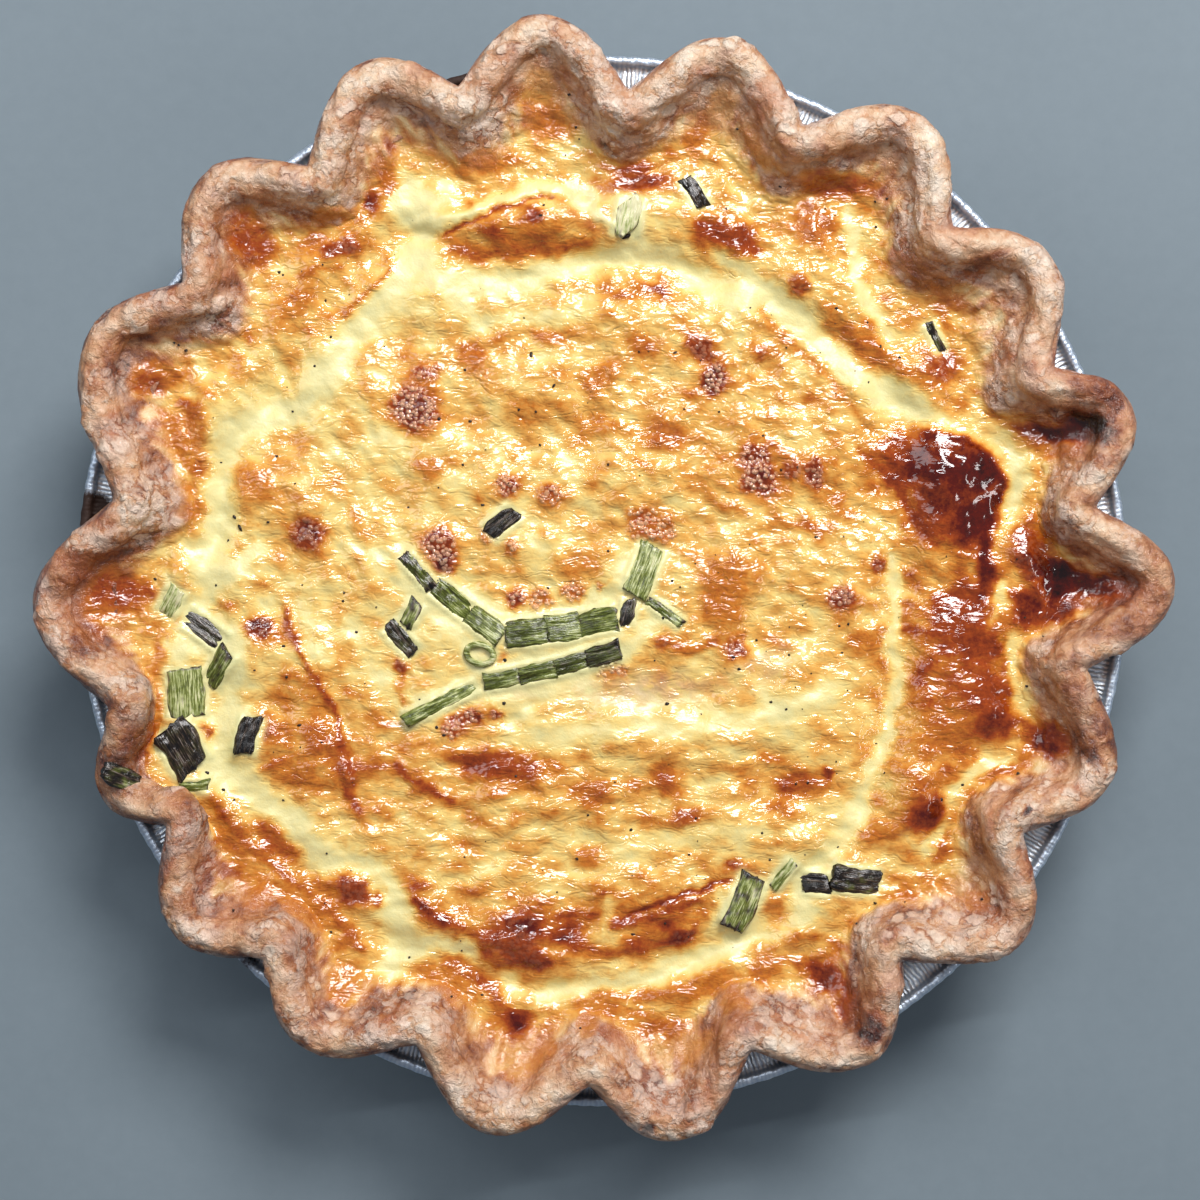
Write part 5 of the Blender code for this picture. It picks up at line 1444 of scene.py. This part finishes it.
class Graph:
    """Short ways to build the nodes of a material or of a shared group."""

    def __init__(self, tree):
        self.tree = tree

    def node(self, kind, **values):
        """A node with properties set by name."""
        made = self.tree.nodes.new(kind)
        for key, value in values.items():
            setattr(made, key, value)
        return made

    def feed(self, socket, value):
        """Links a socket to another's output, or sets its value."""
        if isinstance(value, bpy.types.NodeSocket):
            self.tree.links.new(value, socket)
        else:
            socket.default_value = value

    def use(self, group, **inputs):
        """The outputs of a shared group, placed with its own values. Names have _ for a space."""
        made = self.node("ShaderNodeGroup", node_tree=group)
        for key, value in inputs.items():
            self.feed(made.inputs[key.replace("_", " ")], value)
        return made.outputs

    def math(self, operation, first, second=0.0, third=0.0):
        """A Math node's result."""
        made = self.node("ShaderNodeMath", operation=operation)
        for socket, value in zip(made.inputs, (first, second, third)):
            self.feed(socket, value)
        return made.outputs[0]

    def times(self, first, second):
        """A product."""
        return self.math("MULTIPLY", first, second)

    def scaled(self, value, weight, base):
        """A value times a weight, added to a base."""
        return self.math("MULTIPLY_ADD", value, weight, base)

    def rest(self, share):
        """What a share leaves of 1."""
        return self.math("SUBTRACT", 1.0, share)

    def sway(self, value, amount, base):
        """The base moved up and down by a noise value from 0 to 1, by the amount at most."""
        return self.scaled(self.math("SUBTRACT", value, 0.5), amount, base)

    def attribute(self, name):
        """A mesh mask as a value."""
        return self.node("ShaderNodeAttribute", attribute_name=name).outputs["Fac"]

    def place(self):
        """Object coordinates."""
        return self.node("ShaderNodeTexCoord").outputs["Object"]

    def parts(self, vector):
        """The three parts of a vector or colour."""
        made = self.node("ShaderNodeSeparateXYZ")
        self.feed(made.inputs[0], vector)
        return made.outputs

    def stretched(self, vector, scale, rotation=(0, 0, 0)):
        """Coordinates turned and scaled."""
        made = self.node("ShaderNodeMapping")
        self.feed(made.inputs["Vector"], vector)
        made.inputs["Scale"].default_value = scale
        made.inputs["Rotation"].default_value = rotation
        return made.outputs[0]

    def noise(self, vector, scale, detail=3.0, roughness=0.55, distortion=0.0, output="Fac"):
        """Noise from 0 to 1."""
        made = self.node("ShaderNodeTexNoise")
        keys = ("Vector", "Scale", "Detail", "Roughness", "Distortion")
        for key, value in zip(keys, (vector, scale, detail, roughness, distortion)):
            self.feed(made.inputs[key], value)
        return made.outputs[output]

    def shaken(self, vector, scale, reach):
        """Coordinates moved about by noise, so that edges wander."""
        made = self.node("ShaderNodeVectorMath", operation="MULTIPLY_ADD")
        self.feed(made.inputs[0], self.noise(vector, scale, 2.0, output="Color"))
        made.inputs[1].default_value = (reach, reach, reach)
        self.feed(made.inputs[2], vector)
        return made.outputs[0]

    def voronoi(self, vector, scale, feature="F1"):
        """The outputs of a cell noise."""
        made = self.node("ShaderNodeTexVoronoi", feature=feature)
        self.feed(made.inputs["Vector"], vector)
        self.feed(made.inputs["Scale"], scale)
        return made.outputs

    def plates(self, vector, scale, share):
        """Rounded islands on about a share of the cells, and the rim around them, each from 0 to 1."""
        cell = self.voronoi(vector, scale)
        edge = self.voronoi(vector, scale, "DISTANCE_TO_EDGE")["Distance"]
        chosen = self.band(self.math("SUBTRACT", share, self.parts(cell["Color"])[0]), 0.0, 0.12)
        round_part = self.band(cell["Distance"], 0.68, 0.36)
        island = self.times(self.times(self.band(edge, 0.0, 0.13), round_part), chosen)
        wide = self.times(self.band(cell["Distance"], 0.86, 0.50), chosen)
        return island, self.math("SUBTRACT", wide, self.times(island, wide))

    def ramp(self, value, stops):
        """A colour ramp through (place, colour) stops."""
        made = self.node("ShaderNodeValToRGB")
        elements = made.color_ramp.elements
        while len(elements) < len(stops):
            elements.new(0.5)
        for element, (place, colour) in zip(elements, stops):
            element.position = place
            element.color = (*colour, 1.0)
        self.feed(made.inputs["Fac"], value)
        return made.outputs["Color"]

    def band(self, value, low, high):
        """0 at low and 1 at high, eased."""
        made = self.node("ShaderNodeMapRange", interpolation_type="SMOOTHSTEP")
        self.feed(made.inputs["Value"], value)
        made.inputs["From Min"].default_value = low
        made.inputs["From Max"].default_value = high
        return made.outputs[0]

    def mix(self, share, first, second):
        """A mix of two values."""
        made = self.node("ShaderNodeMix", data_type="FLOAT")
        for socket, value in zip(made.inputs[:1] + made.inputs[2:4], (share, first, second)):
            self.feed(socket, value)
        return made.outputs[0]

    def blend(self, share, first, second, mode="MIX"):
        """A mix of two colours."""
        made = self.node("ShaderNodeMix", data_type="RGBA", blend_type=mode)
        self.feed(made.inputs["Factor"], share)
        for socket, value in zip((made.inputs[6], made.inputs[7]), (first, second)):
            self.feed(socket, value if isinstance(value, bpy.types.NodeSocket) else (*value, 1.0))
        return made.outputs[2]

    def bump(self, height, distance=1.0 * MM):
        """A normal bumped by a height, in units of the distance."""
        made = self.node("ShaderNodeBump")
        made.inputs["Distance"].default_value = distance
        self.feed(made.inputs["Height"], height)
        return made.outputs[0]


class MaterialGraph(Graph):
    """The nodes of one material."""

    SOCKETS = {
        "color": "Base Color", "roughness": "Roughness", "metallic": "Metallic", "normal": "Normal",
        "specular": "Specular IOR Level",
    }

    def __init__(self, name):
        self.material = bpy.data.materials.new(name)
        self.material.use_nodes = True
        super().__init__(self.material.node_tree)
        self.shader = self.tree.nodes["Principled BSDF"]

    def finish(self, **inputs):
        """Feeds the shader's sockets and returns the material."""
        for key, value in inputs.items():
            self.feed(self.shader.inputs[self.SOCKETS[key]], value)
        return self.material


class GroupGraph(Graph):
    """The nodes of a group that several materials share."""

    def __init__(self, name, inputs, outputs):
        self.group = bpy.data.node_groups.new(name, "ShaderNodeTree")
        super().__init__(self.group)
        for in_out, sockets in (("INPUT", inputs), ("OUTPUT", outputs)):
            for socket, kind in sockets.items():
                self.group.interface.new_socket(name=socket, in_out=in_out, socket_type="NodeSocket" + kind)
        self.given = self.node("NodeGroupInput").outputs
        self.result = self.node("NodeGroupOutput").inputs

    def finish(self, **outputs):
        """Feeds the group's outputs and returns the group."""
        for key, value in outputs.items():
            self.feed(self.result[key], value)
        return self.group


def srgb(red, green, blue):
    """A linear colour from 0 to 255 screen values."""
    shares = (value / 255 for value in (red, green, blue))
    return tuple(share / 12.92 if share < 0.0404 else ((share + 0.055) / 1.055) ** 2.4 for share in shares)


# Colours by tone, from pale to burnt
CUSTARD_STOPS = (
    (0.00, srgb(226, 220, 160)),
    (0.14, srgb(232, 218, 148)),
    (0.30, srgb(240, 208, 124)),
    (0.46, srgb(228, 170, 82)),
    (0.60, srgb(200, 120, 38)),
    (0.74, srgb(156, 66, 16)),
    (0.87, srgb(88, 18, 4)),
    (1.00, srgb(28, 6, 5)),
)
PASTRY_STOPS = (
    (0.00, srgb(238, 224, 202)),
    (0.25, srgb(224, 192, 158)),
    (0.44, srgb(204, 154, 112)),
    (0.60, srgb(168, 108, 66)),
    (0.75, srgb(118, 60, 30)),
    (0.88, srgb(62, 22, 14)),
    (1.00, srgb(22, 9, 9)),
)
LEAF_STOPS = (
    (0.00, srgb(28, 22, 6)),
    (0.28, srgb(46, 46, 12)),
    (0.50, srgb(70, 78, 24)),
    (0.70, srgb(112, 122, 52)),
    (0.92, srgb(194, 200, 138)),
    (1.00, srgb(214, 210, 164)),
)
CHAR_STOPS = (
    (0.32, srgb(8, 8, 10)),
    (0.48, srgb(30, 22, 15)),
    (0.60, srgb(76, 62, 50)),
    (0.76, srgb(156, 146, 138)),
)
# Tones of the foil from bluish to white, which paint its reflection.
FOIL_REFLECTION_STOPS = ((0.10, srgb(150, 172, 202)), (0.40, srgb(204, 218, 232)), (0.75, srgb(244, 248, 250)))
SPECK_STOPS = ((0.3, srgb(14, 10, 9)), (0.6, srgb(38, 25, 18)), (0.8, srgb(84, 56, 36)))
FLOOR_STOPS = ((0.3, srgb(112, 126, 134)), (0.7, srgb(120, 134, 142)))


def mottle_group():
    """Uneven tone, in patches and in fine specks."""
    inputs = {"Place": "Vector", "Patch scale": "Float", "Speck scale": "Float"}
    graph = GroupGraph("Baked mottle", inputs, {"Patches": "Float", "Specks": "Float"})
    given = graph.given
    return graph.finish(
        Patches=graph.noise(given["Place"], given["Patch scale"], 3, 0.6),
        Specks=graph.noise(given["Place"], given["Speck scale"], 4, 0.66),
    )


def skin_group(mottle):
    """Oily browned skin over pale custard, with fine wrinkles and beads of burst bubbles whose domes are
    painted paler, partly as painted highlight. Height in mm.
    """
    graph = GroupGraph(
        "Custard skin",
        {"Place": "Vector", "Browning": "Float", "Beads": "Float", "Cream": "Float", "Ham": "Float"},
        {"Color": "Color", "Height": "Float", "Roughness": "Float"},
    )
    given = graph.given
    place, browning_and_shade, beads = given["Place"], given["Browning"], given["Beads"]
    marks = graph.use(mottle, Place=place, Patch_scale=300, Speck_scale=1100)
    patches, specks = marks["Patches"], marks["Specks"]

    tone = graph.sway(patches, 0.22, graph.sway(specks, 0.20, browning_and_shade))
    cell = graph.voronoi(graph.shaken(place, 700, 0.7 * MM), 880)["Distance"]
    gaps = graph.band(cell, 0.36, 0.62)
    tone = graph.scaled(graph.times(gaps, beads), 0.08, tone)
    # Partly the beads' own pale tone and partly painted highlight: the bead domes are blended toward a light
    # pinkish white.
    pale_lit_bead_tops = graph.times(graph.rest(gaps), beads)
    color = graph.blend(graph.times(pale_lit_bead_tops, 0.48), graph.ramp(tone, CUSTARD_STOPS), srgb(242, 196, 158))
    ham = graph.times(graph.times(given["Ham"], 0.6), graph.band(patches, 0.25, 0.6))
    color = graph.blend(ham, color, srgb(198, 166, 138))
    color = graph.blend(graph.times(given["Cream"], 0.6), color, srgb(222, 222, 162))

    grain = graph.stretched(place, (0.5, 1.0, 1.0), (0, 0, 0.5))
    crinkle = graph.math("ABSOLUTE", graph.sway(graph.noise(grain, 430, 1.5, 0.5, 0.8), 1.0, 0.0))
    wrinkle = graph.noise(grain, 1000, 1, 0.5, 0.4)
    skinned = graph.band(browning_and_shade, 0.14, 0.36)
    taut = graph.scaled(graph.band(browning_and_shade, 0.66, 0.88), -0.76, skinned)
    folded = graph.scaled(crinkle, 0.74, graph.times(wrinkle, 0.20))
    soft = graph.scaled(patches, 0.30, graph.times(specks, 0.06))
    height = graph.scaled(folded, taut, graph.times(soft, graph.rest(skinned)))
    height = graph.scaled(graph.times(graph.band(cell, 0.66, 0.05), beads), 0.33, height)
    rough = graph.scaled(specks, 0.06, graph.scaled(skinned, -0.33, 0.38))
    return graph.finish(Color=color, Height=height, Roughness=rough)


def custard_material(skin):
    """The custard's skin, paler and softer where onion or ham lies under it."""
    graph = MaterialGraph("Browned custard skin")
    masks = {"Browning": "browning_and_shade", "Beads": "beads", "Cream": "near_onion", "Ham": "ham"}
    inputs = {key: graph.attribute(name) for key, name in masks.items()}
    made = graph.use(skin, Place=graph.place(), **inputs)
    normal = graph.bump(made["Height"])
    return graph.finish(color=made["Color"], roughness=made["Roughness"], normal=normal, specular=0.85)


def pastry_material(mottle, skin):
    """Flaky baked pastry: tan, with whitish plates, glaze in the hollows, burns, egg that ran up it and
    painted shade.
    """
    graph = MaterialGraph("Flaky baked pastry")
    place = graph.place()
    browning_and_shade, flaky, gloss, egg = (graph.attribute(name) for name in ("browning_and_shade", "flake", "gloss", "egg"))
    marks = graph.use(mottle, Place=place, Patch_scale=210, Speck_scale=1100)
    patches, specks = marks["Patches"], marks["Specks"]

    bent = graph.shaken(graph.shaken(place, 300, 3.0 * MM), 900, 0.9 * MM)
    large, large_seam = graph.plates(bent, 230, graph.times(flaky, 0.60))
    small, small_seam = graph.plates(bent, 520, graph.times(flaky, 0.80))
    plate = graph.math("MAXIMUM", large, graph.times(small, 0.6))
    seam = graph.math("MAXIMUM", large_seam, graph.times(small_seam, 0.7))
    bloom = graph.times(flaky, graph.band(graph.noise(bent, 210, 5, 0.74), 0.45, 0.56))
    dough = graph.noise(place, 520, 5, 0.62, 0.5)

    tone = graph.sway(patches, 0.56, graph.sway(specks, 0.22, browning_and_shade))
    # Painted shade: the tone is darker where the dough's bump is low, in its crevices.
    tone = graph.sway(dough, -0.42, graph.scaled(seam, 0.16, tone))
    color = graph.ramp(graph.scaled(plate, -0.12, tone), PASTRY_STOPS)
    rosy = graph.band(graph.noise(place, 95, 2), 0.45, 0.7)
    color = graph.blend(graph.times(rosy, 0.26), color, srgb(196, 130, 106))
    amber = graph.band(graph.noise(graph.shaken(place, 160, 5 * MM), 48, 2), 0.46, 0.66)
    color = graph.blend(graph.times(amber, 0.50), color, srgb(206, 138, 78), "MULTIPLY")
    pale = graph.blend(specks, srgb(226, 202, 182), srgb(246, 236, 222))
    whitish = graph.math("MAXIMUM", graph.times(plate, 0.50), graph.times(bloom, 0.74))
    color = graph.blend(whitish, color, pale)
    ran = graph.use(skin, Place=place, Browning=browning_and_shade, Beads=0.0, Cream=0.0, Ham=0.0)
    color = graph.blend(egg, color, ran["Color"])

    height = graph.scaled(plate, 0.26, graph.scaled(bloom, 0.24, graph.times(dough, 1.15)))
    height = graph.mix(egg, height, graph.scaled(patches, 0.35, ran["Height"]))
    baked = graph.scaled(specks, 0.10, graph.scaled(gloss, -0.22, 0.34))
    rough = graph.mix(egg, baked, ran["Roughness"])
    return graph.finish(color=color, roughness=rough, normal=graph.bump(height), specular=0.85)


def leaf_material(mottle):
    """Cooked spring onion: green with lengthwise ribs, charred to black where the mask says."""
    graph = MaterialGraph("Cooked spring onion leaf")
    place = graph.place()
    green, char = graph.attribute("green"), graph.attribute("char")
    fibres = graph.noise(graph.stretched(place, (0.10, 1.0, 0.3)), 2400, 3, 0.6)
    marks = graph.use(mottle, Place=place, Patch_scale=420, Speck_scale=1600)
    tone = graph.sway(marks["Patches"], 0.55, graph.math("SUBTRACT", green, 0.06))
    color = graph.ramp(graph.sway(fibres, 1.45, tone), LEAF_STOPS)
    burnt = graph.band(graph.sway(fibres, 0.7, char), 0.30, 0.75)
    ash = graph.math("SUBTRACT", graph.math("ADD", fibres, 0.17), graph.times(char, 0.28))
    color = graph.blend(burnt, color, graph.ramp(ash, CHAR_STOPS))
    normal = graph.bump(graph.scaled(marks["Patches"], 0.5, fibres), 0.25 * MM)
    rough = graph.scaled(marks["Specks"], 0.16, 0.10)
    return graph.finish(color=color, roughness=rough, normal=normal, specular=0.65)


def foil_material(mottle):
    """Bright pressed foil, with fine pleats round its flange, creases with painted reflection, and baked-on
    brown marks.
    """
    graph = MaterialGraph("Pressed foil")
    place = graph.place()
    marks = graph.use(mottle, Place=place, Patch_scale=260, Speck_scale=1500)
    creases, fine = marks["Patches"], marks["Specks"]
    burnt = graph.band(graph.sway(fine, 0.6, graph.attribute("char")), 0.25, 0.6)
    x, y, _ = graph.parts(place)
    waves = graph.scaled(graph.math("ARCTAN2", y, x), FLANGE_PLEATS_PER_RADIAN, graph.times(creases, 1.6))
    pleat = graph.math("ABSOLUTE", graph.sway(graph.math("FRACT", waves), 2.0, 0.0))
    pleat = graph.times(pleat, graph.attribute("flange"))
    # Painted reflection: the tone, from bluish to white, follows the pleats and the creases.
    tone = graph.scaled(pleat, 0.55, graph.scaled(creases, 0.30, 0.15))
    color = graph.blend(burnt, graph.ramp(tone, FOIL_REFLECTION_STOPS), srgb(46, 26, 16))
    height = graph.scaled(pleat, 0.18, graph.scaled(fine, 0.10, graph.times(creases, 0.35)))
    metallic = graph.scaled(burnt, -0.70, 0.80)
    rough = graph.scaled(burnt, 0.3, graph.scaled(fine, 0.2, 0.30))
    return graph.finish(color=color, metallic=metallic, roughness=rough, normal=graph.bump(height))


def speck_material(mottle):
    """Pepper and char."""
    graph = MaterialGraph("Pepper and char")
    marks = graph.use(mottle, Place=graph.place(), Patch_scale=900, Speck_scale=2200)
    color = graph.ramp(marks["Patches"], SPECK_STOPS)
    return graph.finish(color=color, roughness=0.4, normal=graph.bump(marks["Specks"], 0.1 * MM))


def floor_material(mottle):
    """Pale plain floor."""
    graph = MaterialGraph("Pale floor")
    marks = graph.use(mottle, Place=graph.place(), Patch_scale=6, Speck_scale=240)
    color = graph.ramp(graph.sway(marks["Specks"], 0.4, marks["Patches"]), FLOOR_STOPS)
    return graph.finish(color=color, roughness=0.7)


# Floor, light and camera


def make_floor(material):
    """A plain floor under the tin."""
    bpy.ops.mesh.primitive_plane_add(size=FLOOR_SIZE, location=(0, 0, 0))
    floor = bpy.context.object
    floor.name = "floor"
    floor.data.materials.append(material)


def area_light(name, place, size, power, color):
    """A soft rectangular light that looks at the quiche."""
    data = bpy.data.lights.new(name, "AREA")
    data.shape = "RECTANGLE"
    data.size, data.size_y = size
    data.energy = power
    data.color = color
    lamp = bpy.data.objects.new(name, data)
    lamp.location = place
    lamp.rotation_euler = (-Vector(place)).to_track_quat("-Z", "Y").to_euler()
    bpy.context.scene.collection.objects.link(lamp)


def make_light():
    """A soft sky and the lights: a window up and to the right, and weaker ones around it."""
    world = bpy.data.worlds.new("Soft sky")
    world.use_nodes = True
    background = world.node_tree.nodes["Background"]
    background.inputs["Color"].default_value = SKY_COLOR
    background.inputs["Strength"].default_value = SKY_STRENGTH
    bpy.context.scene.world = world
    bpy.context.scene.view_settings.view_transform = "Standard"
    for light in LIGHTS:
        area_light(*light)


def make_camera():
    """The camera straight above, framing the map."""
    data = bpy.data.cameras.new("camera")
    data.sensor_width = SENSOR_MM
    data.lens = SENSOR_MM * EYE_DISTANCE / (MAP_SIZE * MAP_UNIT)
    data.clip_start = 0.01
    camera = bpy.data.objects.new("camera", data)
    camera.location = (EYE_X, EYE_Y, RIM_LEVEL + EYE_DISTANCE)
    bpy.context.scene.collection.objects.link(camera)
    bpy.context.scene.camera = camera


def main():
    """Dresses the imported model."""
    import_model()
    make_camera()
    make_light()
    mottle = mottle_group()
    skin = skin_group(mottle)
    make_floor(floor_material(mottle))
    custard = make_custard(custard_material(skin))
    leaf = leaf_material(mottle)
    pieces = {
        "custard_filling": custard,
        "pastry_crust": make_crust(pastry_material(mottle, skin)),
        "foil_tin": make_tin(foil_material(mottle)),
        "onion_ring_e": make_leaf_ring(leaf),
    }
    for number, (node, row) in enumerate(ONION_PIECES.items()):
        pieces[node] = make_leaf(node, row, number, leaf)
    for node, piece in pieces.items():
        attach(piece, "root")
        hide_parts(node)
    specks = make_specks(custard, speck_material(mottle))
    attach(specks, "root")


main()
